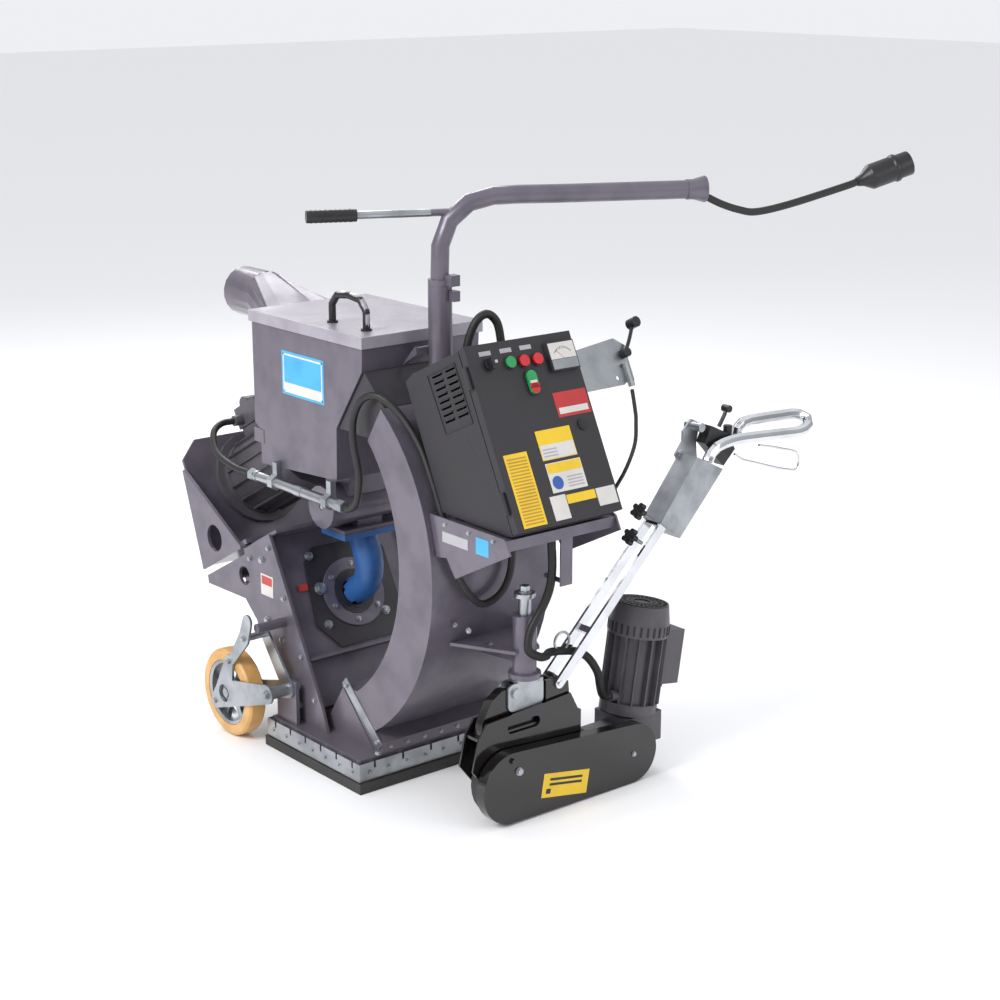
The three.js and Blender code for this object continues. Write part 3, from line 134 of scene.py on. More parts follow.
@dataclass(frozen=True)
class Finish:
    """One real finish.

    Attributes:
        name: material name.
        slot: material slot of the record that it belongs to; not used.
        colour: main sRGB colour.
        worn: sRGB colour of its mottled or dusty patches.
        rough: lowest roughness.
        rough_span: how far roughness rises in the patches.
        metallic: metal share.
        surface: kind of relief.
        grain_mm: size of the relief in millimetres.
        bump: strength of the relief.
        coat: clear coat weight.
        dust: how much floor dust lies on its low parts.
        PATCH_MM: size of the mottled patches in millimetres.
        DUST_FULL: height in metres below which the dust is full.
        DUST_NONE: height in metres above which there is none.
    """

    PATCH_MM: ClassVar[float] = 70.0
    DUST_FULL: ClassVar[float] = 0.02
    DUST_NONE: ClassVar[float] = 0.32

    name: str
    slot: str
    colour: str
    worn: str
    rough: float
    rough_span: float = 0.12
    metallic: float = 0.0
    surface: Surface = Surface.ORANGE_PEEL
    grain_mm: float = 2.0
    bump: float = 0.06
    coat: float = 0.0
    dust: float = 0.0

    def build(self) -> bpy.types.Material:
        """Makes the node material.

        Returns:
            The new material.
        """
        mat = bpy.data.materials.new(self.name)
        mat.use_nodes = True
        tree = mat.node_tree
        shader = tree.nodes["Principled BSDF"]
        place = add_node(tree, "ShaderNodeTexCoord").outputs["Object"]
        shader.inputs["Metallic"].default_value = self.metallic
        shader.inputs["Coat Weight"].default_value = self.coat
        shader.inputs["Coat Roughness"].default_value = 0.08

        patches = add_node(
            tree, "ShaderNodeTexNoise",
            {"Scale": 1 / (self.PATCH_MM * MM), "Detail": 6.0, "Vector": place},
        ).outputs["Fac"]
        spread = add_node(
            tree, "ShaderNodeMapRange", {"From Min": 0.42, "From Max": 0.72, "Value": patches}
        ).outputs["Result"]
        colour = add_node(
            tree, "ShaderNodeMix",
            {"A": linear(self.colour), "B": linear(self.worn), "Factor": spread},
            data_type="RGBA",
        ).outputs["Result"]
        if self.dust > 0:
            colour = self._dusted(tree, place, patches, colour)
        tree.links.new(colour, shader.inputs["Base Color"])

        gloss = add_node(
            tree, "ShaderNodeMapRange",
            {"To Min": self.rough, "To Max": self.rough + self.rough_span, "Value": spread},
        )
        tree.links.new(gloss.outputs["Result"], shader.inputs["Roughness"])
        self._relief(tree, place, shader)
        return mat

    def _dusted(
        self, tree: bpy.types.NodeTree, place: Socket, patches: Socket, colour: Socket
    ) -> Socket:
        """Lays pale floor dust on what is close to the floor.

        Args:
            tree: node tree of the material.
            place: object coordinates.
            patches: noise that breaks the dust up.
            colour: colour of the clean surface.

        Returns:
            The colour with its dust.
        """
        split = add_node(tree, "ShaderNodeSeparateXYZ", {"Vector": place})
        low = add_node(
            tree, "ShaderNodeMapRange",
            {
                "From Min": self.DUST_FULL, "From Max": self.DUST_NONE,
                "To Min": self.dust, "To Max": 0.0, "Value": split.outputs["Z"],
            },
        )
        share = add_node(
            tree, "ShaderNodeMath", {0: low.outputs["Result"], 1: patches}, operation="MULTIPLY"
        )
        mix = add_node(
            tree, "ShaderNodeMix",
            {"A": colour, "B": linear("#a39a90"), "Factor": share.outputs["Value"]},
            data_type="RGBA",
        )
        return mix.outputs["Result"]

    def _relief(self, tree: bpy.types.NodeTree, place: Socket, shader: bpy.types.Node) -> None:
        """Adds the fine relief through one bump node.

        Args:
            tree: node tree of the material.
            place: object coordinates.
            shader: shader that gets the relief.
        """
        scale = 1 / (self.grain_mm * MM)
        if self.surface is Surface.SPANGLE:
            grain = add_node(tree, "ShaderNodeTexVoronoi", {"Scale": scale, "Vector": place})
            height = grain.outputs["Distance"]
        else:
            grain = add_node(
                tree, "ShaderNodeTexNoise", {"Scale": scale, "Detail": 3.0, "Vector": place}
            )
            height = grain.outputs["Fac"]
        bump = add_node(
            tree, "ShaderNodeBump",
            {"Strength": self.bump, "Distance": 0.6 * MM, "Height": height},
        )
        tree.links.new(bump.outputs["Normal"], shader.inputs["Normal"])


# Sheet metal sprayed with a satin purple-grey enamel, dusty towards the floor.
GREY = Finish(
    "satin_grey_enamel", "grey_paint", "#69636f", "#5b5662", 0.3,
    metallic=0.3, coat=0.2, dust=0.2,
)
# The lid has the same enamel, made lighter: painted light on its upward-facing top.
LID_PAINTED_LIGHT = Finish(
    "lid_enamel_painted_light", "lid_paint", "#a49fa9", "#96919b", 0.28, metallic=0.25, coat=0.15,
)
# Near-black enamel on the access plate and the rebound throat: painted shade for front faces and a
# throat recess that sit in shadow.
PAINTED_SHADE = Finish("painted_shade_enamel", "dark_paint", "#29262b", "#322f35", 0.34, dust=0.12)
# Cabinet in a coarse black powder coat.
CABINET = Finish(
    "black_powder_coat", "cabinet_paint", "#252327", "#2d2a30", 0.5,
    surface=Surface.TEXTURED, grain_mm=1.1, bump=0.35,
)
# Chain cover: glossy black lacquer.
GLOSS = Finish("gloss_black_lacquer", "gloss_black", "#120f10", "#181415", 0.14, 0.1, coat=0.35)
# Motor castings in dark grey paint.
MOTOR = Finish(
    "dark_motor_enamel", "motor_paint", "#4b484d", "#57545a", 0.4,
    surface=Surface.CAST, grain_mm=3.0, bump=0.2,
)
# Blue painted casting of the feed elbow.
BLUE_CAST = Finish(
    "blue_cast_enamel", "blue_cast", "#2d5f9e", "#234c80", 0.4,
    surface=Surface.CAST, grain_mm=3.5, bump=0.3,
)
# Zinc-plated steel plates and brackets.
ZINC = Finish(
    "zinc_plated_steel", "galvanised", "#aeb2b6", "#8d9196", 0.28, 0.2, metallic=0.9,
    surface=Surface.SPANGLE, grain_mm=4.0, bump=0.08, dust=0.1,
)
# Bare machined steel.
STEEL = Finish(
    "machined_steel", "steel", "#a8a6a3", "#8b8580", 0.3, 0.2,
    metallic=0.95, surface=Surface.TURNED,
)
# Chromed tube.
CHROME = Finish(
    "polished_chrome", "chrome", "#e3e5e8", "#cfd2d6", 0.09, 0.1,
    metallic=1.0, surface=Surface.TURNED,
)
# Black rubber and cable sheath.
RUBBER = Finish(
    "black_rubber", "black_rubber", "#1a1a1b", "#262526", 0.5,
    surface=Surface.MOULDED, grain_mm=1.4, bump=0.2, dust=0.08,
)
# Black moulded plastic.
PLASTIC = Finish(
    "black_moulded_plastic", "black_plastic", "#19191b", "#202022", 0.34,
    surface=Surface.MOULDED, grain_mm=0.8, bump=0.12,
)
# Cast polyurethane tread.
AMBER = Finish(
    "amber_polyurethane", "amber_tyre", "#d9a763", "#c08e4b", 0.34,
    surface=Surface.MOULDED, grain_mm=2.4, bump=0.15, dust=0.15,
)
GREEN = Finish("green_push_button", "button_green", "#1f9a55", "#1b8a4b", 0.2, 0.06, coat=0.4)
RED = Finish("red_push_button", "button_red", "#c8202a", "#b41c25", 0.2, 0.06, coat=0.4)
# Flat label stock; colours are plain patches with no lettering.
LABEL_WHITE = Finish("white_label_film", "button_green", "#d3d1cd", "#c8c6c1", 0.35, coat=0.2)
LABEL_YELLOW = Finish("yellow_label_film", "button_green", "#e8c21c", "#dcb618", 0.35, coat=0.2)
LABEL_OCHRE = Finish("ochre_label_film", "button_green", "#b98d1c", "#ad841a", 0.35, coat=0.2)
LABEL_RED = Finish("red_label_film", "button_red", "#b92a2c", "#aa2527", 0.35, coat=0.2)
LABEL_BLUE = Finish("blue_label_film", "button_green", "#2457a6", "#204e96", 0.35, coat=0.2)
LABEL_CYAN = Finish("cyan_label_film", "button_green", "#3aa6d8", "#3598c8", 0.35, coat=0.2)
LABEL_GREY = Finish("grey_label_film", "grey_paint", "#a9a7ac", "#9f9da2", 0.35, coat=0.2)
# Black print film, also used as painted shade in the lock's key slot.
BLACK_PRINT_AND_SHADE = Finish("black_print_and_slot_shade", "black_plastic", "#161617", "#1c1c1d", 0.35, coat=0.2)
# Meter window over its pale dial.
METER = Finish("smoked_meter_window", "black_plastic", "#8d9196", "#7d8186", 0.12, 0.05, coat=0.8)
# Brown gasket board.
GASKET = Finish("brown_gasket_board", "black_rubber", "#6b4a34", "#5a3d2b", 0.7)

NODE_FINISH: dict[Finish, tuple[str, ...]] = {
    GREY: (
        "base_frame", "wheel_housing", "motor_mount", "belt_guard", "shot_valve_body",
        "rebound_duct", "hopper", "dust_outlet", "mast", "cabinet_tray", "kingpin_bracket",
        "cable_boom",
    ),
    # The hopper lid gets the painted light.
    LID_PAINTED_LIGHT: ("hopper_lid",),
    # The access plate and the throat get the painted shade.
    PAINTED_SHADE: ("wheel_access_plate", "rebound_throat"),
    CABINET: ("cabinet_case", "cabinet_door"),
    GLOSS: ("chain_cover", "drive_frame"),
    MOTOR: ("blast_motor", "motor_terminal_box", "drive_gearbox", "drive_motor"),
    BLUE_CAST: ("feed_elbow",),
    ZINC: (
        "seal_strip", "contactor_panel", "feed_lever_bracket", "kingpin_yoke", "cable_conduit",
        "tiller_head", "wheel_arm_left", "wheel_arm_right", "rear_rim_left", "rear_rim_right",
        "valve_flap",
    ),
    STEEL: ("blast_wheel", "motor_pulley", "drive_hub"),
    CHROME: ("tiller_tube", "handlebar", "brake_bail"),
    RUBBER: ("seal_rubber", "drive_belt", "drive_tyre", "power_cable", "drive_cable",
             "blast_motor_cable", "supply_cable_loop", "feed_cable"),
    PLASTIC: ("cable_plug", "selector_knob", "feed_lever", "control_box", "speed_lever"),
    AMBER: ("rear_tyre_left", "rear_tyre_right"),
    GREEN: ("start_button", "double_button"),
    RED: ("stop_button_a", "stop_button_b"),
}


# ------------------------------------------------------------------ workshop
@dataclass
class Workshop:
    """Makes pieces and keeps one material for each finish."""

    materials: dict[str, bpy.types.Material] = field(default_factory=dict)

    def material(self, finish: Finish) -> bpy.types.Material:
        """Finds the one material of a finish, built on first use.

        Args:
            finish: the finish.

        Returns:
            Its material.
        """
        if finish.name not in self.materials:
            self.materials[finish.name] = finish.build()
        return self.materials[finish.name]

    def dress(self, obj: bpy.types.Object, finish: Finish) -> None:
        """Gives an object one finish.

        Args:
            obj: object to dress.
            finish: its finish.
        """
        obj.data.materials.clear()
        obj.data.materials.append(self.material(finish))

    def add(
        self,
        name: str,
        data: bpy.types.ID,
        finish: Finish,
        body: str,
        stands_for: Iterable[str] = (),
    ) -> bpy.types.Object:
        """Links a new piece, dresses it and lets it ride on its body.

        Args:
            name: object name.
            data: mesh or curve data.
            finish: its finish.
            body: CAD body that it moves with.
            stands_for: CAD nodes that it replaces.

        Returns:
            The new object.
        """
        obj = bpy.data.objects.new(name, data)
        bpy.context.scene.collection.objects.link(obj)
        self.dress(obj, finish)
        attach(obj, body)
        for node in stands_for:
            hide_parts(node)
        LOG.info("piece %s on %s", name, body)
        return obj

    def tube(
        self,
        name: str,
        points: Sequence[Point],
        radius: float,
        finish: Finish,
        body: str,
        stands_for: Iterable[str] = (),
        resolution: int = 6,
    ) -> bpy.types.Object:
        """Makes a smooth round tube.

        Args:
            name: object name.
            points: route in millimetres.
            radius: radius of the sheath in millimetres.
            finish: its finish.
            body: CAD body that it moves with.
            stands_for: CAD nodes that it replaces.
            resolution: steps between two points of the route.

        Returns:
            The new tube.
        """
        curve = bpy.data.curves.new(name, "CURVE")
        curve.dimensions = "3D"
        curve.bevel_depth = radius * MM
        curve.bevel_resolution = 5
        curve.use_fill_caps = True
        curve.resolution_u = resolution
        dense = smooth_line([Vector(p) * MM for p in points], resolution)
        spline = curve.splines.new("POLY")
        spline.points.add(len(dense) - 1)
        for slot, p in zip(spline.points, dense):
            slot.co = (*p, 1.0)
        spline.use_smooth = True
        return self.add(name, curve, finish, body, stands_for)

    def mesh(
        self,
        name: str,
        bm: bmesh.types.BMesh,
        finish: Finish,
        body: str,
        stands_for: Iterable[str] = (),
        bevel_mm: float = 0.0,
    ) -> bpy.types.Object:
        """Turns a bmesh in millimetres into a smooth-shaded piece.

        Args:
            name: object name.
            bm: mesh in millimetres, freed here.
            finish: its finish.
            body: CAD body that it moves with.
            stands_for: CAD nodes that it replaces.
            bevel_mm: width of its broken edges, 0 for none.

        Returns:
            The new piece.
        """
        bmesh.ops.scale(bm, vec=(MM, MM, MM), verts=bm.verts)
        bmesh.ops.recalc_face_normals(bm, faces=bm.faces)
        data = bpy.data.meshes.new(name)
        bm.to_mesh(data)
        bm.free()
        obj = self.add(name, data, finish, body, stands_for)
        soften(obj, bevel_mm)
        return obj


def smooth_line(points: list[Vector], steps: int) -> list[Vector]:
    """Runs a Catmull-Rom line through points.

    Args:
        points: points of the route.
        steps: steps between two points.

    Returns:
        The dense line, with both its ends.
    """
    line = []
    for i in range(len(points) - 1):
        a = points[max(i - 1, 0)]
        b, c = points[i], points[i + 1]
        d = points[min(i + 2, len(points) - 1)]
        for k in range(steps):
            t = k / steps
            line.append(
                0.5
                * (
                    2 * b
                    + (c - a) * t
                    + (2 * a - 5 * b + 4 * c - d) * t * t
                    + (3 * b - a - 3 * c + d) * t**3
                )
            )
    line.append(points[-1])
    return line


def shading_group() -> bpy.types.NodeTree:
    """Makes the node group that shades a mesh smooth up to a crease angle.

    Returns:
        The one group, made on first use.
    """
    name = "smooth_by_angle"
    crease = math.radians(32)
    if name in bpy.data.node_groups:
        return bpy.data.node_groups[name]
    tree = bpy.data.node_groups.new(name, "GeometryNodeTree")
    tree.interface.new_socket("Geometry", in_out="INPUT", socket_type="NodeSocketGeometry")
    tree.interface.new_socket("Geometry", in_out="OUTPUT", socket_type="NodeSocketGeometry")
    start = add_node(tree, "NodeGroupInput")
    faces = add_node(tree, "GeometryNodeSetShadeSmooth", {"Geometry": start.outputs[0]})
    angle = add_node(tree, "GeometryNodeInputMeshEdgeAngle")
    sharp = add_node(
        tree, "FunctionNodeCompare",
        {"A": angle.outputs["Unsigned Angle"], "B": crease},
        operation="GREATER_THAN",
    )
    edges = add_node(
        tree, "GeometryNodeSetShadeSmooth",
        {
            "Geometry": faces.outputs["Geometry"],
            "Selection": sharp.outputs["Result"],
            "Shade Smooth": False,
        },
        domain="EDGE",
    )
    add_node(tree, "NodeGroupOutput", {0: edges.outputs["Geometry"]})
    return tree


def soften(obj: bpy.types.Object, bevel_mm: float) -> None:
    """Rounds the edges of an object a little and shades it by angle.

    Args:
        obj: object to soften.
        bevel_mm: width of the broken edges, 0 for none.
    """
    weld = obj.modifiers.new("weld", "WELD")
    weld.merge_threshold = 0.00002
    if bevel_mm > 0:
        bevel = obj.modifiers.new("edge_break", "BEVEL")
        bevel.width = bevel_mm * MM
        bevel.segments = 2
        bevel.limit_method = "ANGLE"
        bevel.angle_limit = math.radians(38)
        bevel.use_clamp_overlap = True
    group = obj.modifiers.new("shading", "NODES")
    group.node_group = shading_group()
    if bevel_mm > 0:
        obj.modifiers.new("flat_faces", "WEIGHTED_NORMAL").keep_sharp = True


# ------------------------------------------------------------------ solids in millimetres
def aim(direction: Point, at: Point) -> Matrix:
    """Turns local Z to a direction and moves to a point.

    Args:
        direction: where local Z points.
        at: new origin.

    Returns:
        The placing matrix.
    """
    turn = Vector(direction).normalized().to_track_quat("Z", "Y").to_matrix().to_4x4()
    return Matrix.Translation(Vector(at)) @ turn


def cylinder(
    bm: bmesh.types.BMesh,
    a: Point,
    b: Point,
    radius: float,
    end: float | None = None,
    sides: int = 28,
) -> None:
    """Adds a closed cylinder or cone.

    Args:
        bm: mesh that gets it.
        a: centre of its first end.
        b: centre of its second end.
        radius: radius at a.
        end: radius at b where it differs.
        sides: number of sides.
    """
    start, stop = Vector(a), Vector(b)
    place = aim(stop - start, (start + stop) / 2)
    bmesh.ops.create_cone(
        bm, cap_ends=True, segments=sides, radius1=radius,
        radius2=radius if end is None else end, depth=(stop - start).length, matrix=place,
    )


def brick(
    bm: bmesh.types.BMesh, low: Point, high: Point, frame: Matrix | None = None
) -> None:
    """Adds a box between two corners.

    Args:
        bm: mesh that gets it.
        low: lowest corner.
        high: highest corner.
        frame: local frame of the corners, if any.
    """
    lo, hi = Vector(low), Vector(high)
    place = Matrix.Translation((lo + hi) / 2) @ Matrix.Diagonal((*(hi - lo), 1.0))
    bmesh.ops.create_cube(bm, size=1.0, matrix=(frame or Matrix.Identity(4)) @ place)


def revolve(
    bm: bmesh.types.BMesh, profile: Sequence[Point], frame: Matrix, steps: int = 48
) -> None:
    """Turns a closed profile round the local Z axis of a frame.

    Args:
        bm: mesh that gets it.
        profile: points as (radius, height).
        frame: the local frame.
        steps: number of steps in the turn.
    """
    rings = []
    for i in range(steps):
        a = 2 * math.pi * i / steps
        turn = Vector((math.cos(a), math.sin(a), 0))
        rings.append([bm.verts.new(frame @ (turn * r + Vector((0, 0, h)))) for r, h in profile])
    for i in range(steps):
        here, after = rings[i], rings[(i + 1) % steps]
        for k in range(len(profile)):
            m = (k + 1) % len(profile)
            bm.faces.new((here[k], after[k], after[m], here[m]))


def bolt(bm: bmesh.types.BMesh, at: Point, axis: Point, size: float) -> None:
    """Adds a washer and a domed hex head, sunk a little at its foot.

    Args:
        bm: mesh that gets it.
        at: centre of its foot.
        axis: where it points.
        size: thread size.
    """
    n = Vector(axis).normalized()
    p = Vector(at)
    cylinder(bm, p - n * 0.6, p + n * size * 0.22, size * 1.05, sides=20)
    cylinder(bm, p + n * size * 0.2, p + n * size * 0.78, size * 0.92, sides=6)
    cylinder(bm, p + n * size * 0.76, p + n * size * 0.9, size * 0.78, size * 0.5, sides=16)


# ------------------------------------------------------------------ local frames of the machine
def leaning_frame() -> Matrix:
    """Frame of the leaning blast unit.

    Returns:
        Matrix with X out of its plate and Z up the plate.
    """
    return Matrix.Translation((-212, 0, 124)) @ Matrix.Rotation(-math.radians(28.5), 4, "Y")


def door_frame() -> Matrix:
    """Frame of the cabinet door.

    Returns:
        Matrix with X out of its face, Y across it and Z up its slope.
    """
    return Matrix.Translation((459, 0, 723)) @ Matrix.Rotation(-math.radians(26.4), 4, "Y")


# ------------------------------------------------------------------ sub-assemblies
@dataclass
class Cables:
    """All cables and hoses, drawn as round sheaths on the routes of their solids.

    Attributes:
        shop: the workshop.
        heading: heading of the boom in degrees.
        supply_radius: radius of the supply cable.
        loop_radius: radius of its loop down to the cabinet.
        motor_radius: radius of the blast motor's cable.
        hose_radius: radius of the drive hose between its ribs.
        rib_radius: radius of the ribs.
        rib_pitch: distance between two ribs.
        rib_half: half the thickness of a rib.
        pull_radius: radius of the feed cable.
    """

    shop: Workshop
    heading: float = 65.0
    supply_radius: float = 8.75
    loop_radius: float = 10.0
    motor_radius: float = 8.5
    hose_radius: float = 9.0
    rib_radius: float = 9.9
    rib_pitch: float = 4.6
    rib_half: float = 1.1
    pull_radius: float = 4.5

    def build(self) -> None:
        """Makes every cable."""
        self._supply()
        self._motor_cable()
        self._drive_hose()
        self._feed_cable()

    def _supply(self) -> None:
        """The supply cable: a short visible stretch from the boom to its plug."""
        turn = math.radians(self.heading)
        away = Vector((math.cos(turn), math.sin(turn), 0))
        sag = [
            (560, 1376), (592, 1373), (627, 1363), (672, 1342), (717, 1327),
            (760, 1321), (842, 1336), (975, 1372), (1010, 1383),
        ]
        route = [away * s + Vector((0, 0, z)) for s, z in sag]
        cable = self.shop.tube(
            "supply_cable", route, self.supply_radius, RUBBER, "boom", ["power_cable"]
        )
        loop = [
            (42, 40, 990.8), (44, 44, 1045), (54, 60, 1095), (62, 86, 1112),
            (68, 110, 1092), (72, 119, 1050), (73, 121, 1006),
        ]
        self.shop.tube(
            "supply_loop", loop, self.loop_radius, RUBBER, "machine", ["supply_cable_loop"]
        )

    def _motor_cable(self) -> None:
        """The blast motor's cable, through its conduit and over the duct."""
        route = [
            (-785.5, -76, 729.7), (-786, -112, 728), (-762, -150, 712), (-700, -178, 678),
            (-610, -186, 661), (-540, -186, 660), (-500, -186, 660), (-400, -186, 660),
            (-300, -186, 660), (-200, -186, 660), (-140, -186, 660), (-118, -186, 660.2),
            (-96, -186.5, 668), (-75, -188, 690), (-62, -190, 750), (-82, -190, 820),
            (-84, -188, 880), (-50, -186, 932), (0, -172, 944), (52, -150, 902),
            (104, -140, 842), (146, -140, 775), (180, -140, 707), (202, -139, 650),
            (208, -128, 585), (210, -92, 520), (210, -48, 482), (212, 4, 498),
            (213, 33, 550), (215, 36, 640), (226, 36, 690), (228, 36, 710.2),
        ]
        self.shop.tube(
            "motor_cable", route, self.motor_radius, RUBBER, "machine", ["blast_motor_cable"], 4
        )

    def _drive_hose(self) -> None:
        """The corrugated hose that guards the drive motor's cable."""
        route = [
            (390, 0, 706.6), (390, 2, 660), (386, 8, 600), (373, 12, 548),
            (354, 8, 500), (347, -20, 450), (350, -30, 408), (350, 0, 384),
            (332, 38, 371), (304, 72, 364), (300, 112, 358), (300, 160, 345),
            (300, 195, 322), (300, 225, 280), (296, 238, 240), (290, 250, 216),
            (288, 262, 206.5), (288, 274.2, 204),
        ]
        self.shop.tube(
            "drive_hose", route, self.hose_radius, RUBBER, "machine", ["drive_cable"], 5
        )
        line = smooth_line([Vector(p) for p in route], 40)
        rings = bmesh.new()
        walked = 0.0
        for here, after in zip(line, line[1:]):
            walked += (after - here).length
            if walked >= self.rib_pitch:
                walked = 0.0
                along = (after - here).normalized() * self.rib_half
                cylinder(rings, here - along, here + along, self.rib_radius, sides=16)
        self.shop.mesh("drive_hose_ribs", rings, RUBBER, "machine")

    def _feed_cable(self) -> None:
        """The pull cable from the feed lever to the valve."""
        route = [
            (309, 312, 946), (330, 302, 908), (347, 290, 883), (385, 250, 836),
            (387, 205, 765), (330, 192, 700), (160, 194, 655), (-60, 194, 645),
            (-200, 190, 650), (-275, 164, 662), (-312.5, 141, 662),
        ]
        self.shop.tube(
            "valve_pull_cable", route, self.pull_radius, RUBBER, "machine", ["feed_cable"], 5
        )


@dataclass
class Cabinet:
    """The sloping control cabinet with its door furniture, louvres and labels.

    Attributes:
        shop: the workshop.
        side_y: Y of the side of the case with the louvres.
        meter_face: height of the meter's face above the door.
        lamp_face: height of the double button's inner face above the door.
        lock_y: Y of the lock.
        lock_w: place of the lock up the slope.
        button_row: place of the button plates up the slope.
    """

    shop: Workshop
    side_y: float = -146.0
    meter_face: float = 12.0
    lamp_face: float = 10.8
    lock_y: float = 107.6
    lock_w: float = 205.6
    button_row: float = 396.0

    def build(self) -> None:
        """Adds everything on the cabinet."""
        self._louvres()
        self._meter()
        self._labels()
        self._gasket()
        self._buttons()

    def _plate(
        self,
        name: str,
        finish: Finish,
        y: Point,
        w: Point,
        lift: float = DOOR_PLATE_LIFT,
        thick: float = 0.5,
    ) -> None:
        """Adds a thin plate on the door face.

        Args:
            name: object name.
            finish: its finish.
            y: its two sides across the door.
            w: its two ends up the slope.
            lift: height of its back above the door.
            thick: its thickness.
        """
        bm = bmesh.new()
        brick(bm, (lift, y[0], w[0]), (lift + thick, y[1], w[1]), door_frame())
        self.shop.mesh(name, bm, finish, "door", bevel_mm=0.2)

    def _bars(
        self, name: str, finish: Finish, y: Point, low: float, high: float, count: int
    ) -> None:
        """Adds a column of thin plain bars on a label.

        Args:
            name: object name.
            finish: their finish.
            y: their two sides across the door.
            low: lower end of the column.
            high: upper end of the column.
            count: number of bars.
        """
        bm = bmesh.new()
        step = (high - low) / count
        for i in range(count):
            w = low + i * step
            brick(bm, (0.9, y[0], w), (1.12, y[1], w + step * 0.42), door_frame())
        self.shop.mesh(name, bm, finish, "door")

    def _louvres(self) -> None:
        """Pressed hoods over the vent slots, in a shallow frame on the side of the case."""
        side = self.side_y
        hoods = bmesh.new()
        slope = math.atan2(15.5, 34)
        for column in range(2):
            for row in range(8):
                x = 158 + column * 46 + row * 6.6
                z = 1012 + column * 21 - row * 13.2
                place = Matrix.Translation((x, side, z)) @ Matrix.Rotation(-slope, 4, "Y")
                brick(hoods, (-1, -3.2, -0.2), (38, 0.6, 2.4), place)
        self.shop.mesh("louvre_hoods", hoods, CABINET, "machine", bevel_mm=0.8)
        frame = bmesh.new()
        edge = [(140, 1012), (236, 1056), (300, 936), (206, 893)]
        for (xa, za), (xb, zb) in zip(edge, edge[1:] + edge[:1]):
            length = math.hypot(xb - xa, zb - za)
            turn = Matrix.Rotation(-math.atan2(zb - za, xb - xa), 4, "Y")
            place = Matrix.Translation((xa, side, za)) @ turn
            brick(frame, (-1.5, -1.8, -1.5), (length + 1.5, 0.8, 1.5), place)
        self.shop.mesh("louvre_frame", frame, CABINET, "machine", bevel_mm=0.6)

    def _meter(self) -> None:
        """Square current meter with a pale dial and a smoked lower half."""
        frame = door_frame()
        face = self.meter_face
        dial = bmesh.new()
        brick(dial, (face - 0.2, 67, 356), (face + 0.8, 139, 393), frame)
        self.shop.mesh("meter_dial", dial, LABEL_WHITE, "door", bevel_mm=0.2)
        window = bmesh.new()
        brick(window, (face - 0.2, 67, 333), (face + 1.6, 139, 355), frame)
        self.shop.mesh("meter_window", window, METER, "door", bevel_mm=0.5)
        ticks = bmesh.new()
        pivot = Vector((0, 103, 350))
        for i in range(11):
            a = math.radians(45 + i * 9)
            spot = pivot + Vector((0, -math.cos(a), math.sin(a))) * 31
            place = frame @ Matrix.Translation((face + 0.9, spot.y, spot.z))
            turn = Matrix.Rotation(a - math.pi / 2, 4, "X")
            brick(ticks, (-0.2, -0.6, -3.0), (0.1, 0.6, 3.0), place @ turn)
        self.shop.mesh("meter_ticks", ticks, BLACK_PRINT_AND_SHADE, "door")
        needle = bmesh.new()
        place = frame @ Matrix.Translation((face + 1.1, 103, 356))
        swing = Matrix.Rotation(math.radians(42), 4, "X")
        brick(needle, (-0.2, -0.5, 0), (0.1, 0.5, 27), place @ swing)
        self.shop.mesh("meter_needle", needle, LABEL_RED, "door")

    def _labels(self) -> None:
        """Blank label patches; each is a plain colour with simple blocks."""
        self._plate("label_red", LABEL_RED, (50, 145), (229, 285))
        self._plate("label_red_band", LABEL_WHITE, (56, 139), (236, 250), 0.8, 0.2)
        self._plate("label_dual_a", LABEL_YELLOW, (-29, 70), (142, 209))
        self._plate("label_dual_a_lower", LABEL_WHITE, (-27, 68), (144, 176), 0.8, 0.2)
        self._plate("label_dual_b", LABEL_WHITE, (-27, 73), (69, 135))
        self._plate("label_dual_b_top", LABEL_YELLOW, (-25, 71), (112, 133), 0.8, 0.2)
        disc = bmesh.new()
        frame = door_frame()
        cylinder(disc, frame @ Vector((0.7, -6, 90)), frame @ Vector((1.1, -6, 90)), 15, sides=36)
        self.shop.mesh("label_disc", disc, LABEL_BLUE, "door")
        self._plate("label_tall", LABEL_YELLOW, (-131, -66), (8, 171))
        self._bars("label_tall_bars", LABEL_OCHRE, (-125, -72), 14, 165, 21)
        self._bars("label_dual_a_bars", LABEL_GREY, (-22, 18), 149, 171, 3)
        self._bars("label_dual_b_bars", LABEL_GREY, (22, 66), 76, 104, 4)
        self._plate("label_small", LABEL_WHITE, (-41, 3), (9, 63))
        self._plate("label_strip", LABEL_YELLOW, (5, 87), (40, 60))
        self._plate("label_right", LABEL_WHITE, (90, 145), (20, 60))
        w = self.button_row
        for i, y in enumerate((-99.5, -41.8, 14.0)):
            sides, ends = (y - 16, y + 16), (w - 5, w + 5)
            self._plate(f"button_plate_{i}", LABEL_GREY, sides, ends, DOOR_PLATE_LIFT, 0.8)

    def _gasket(self) -> None:
        """Black rubber seal in the gap behind the door, and the door lock with its key slot in
        painted shade.
        """
        bm = bmesh.new()
        frame = door_frame()
        for y0, y1, w0, w1 in (
            (-145, -139, 4, 414), (139, 145, 4, 414), (-145, 145, 4, 9), (-145, 145, 409, 414),
        ):
            brick(bm, (-20.2, y0, w0), (-14, y1, w1), frame)
        self.shop.mesh("door_gasket", bm, RUBBER, "door", bevel_mm=0.8)
        lock = bmesh.new()
        for back, front, radius in ((-0.5, 5, 13), (4.8, 6.4, 9)):
            a = frame @ Vector((back, self.lock_y, self.lock_w))
            b = frame @ Vector((front, self.lock_y, self.lock_w))
            cylinder(lock, a, b, radius)
        self.shop.mesh("door_lock", lock, PLASTIC, "door", bevel_mm=0.5)
        # Key slot: a thin black patch, painted shade for the dark of the keyway.
        slot = bmesh.new()
        brick(slot, (6.3, 106.2, 200), (6.9, 109.0, 211), frame)
        self.shop.mesh("door_lock_slot_painted_shade", slot, BLACK_PRINT_AND_SHADE, "door")

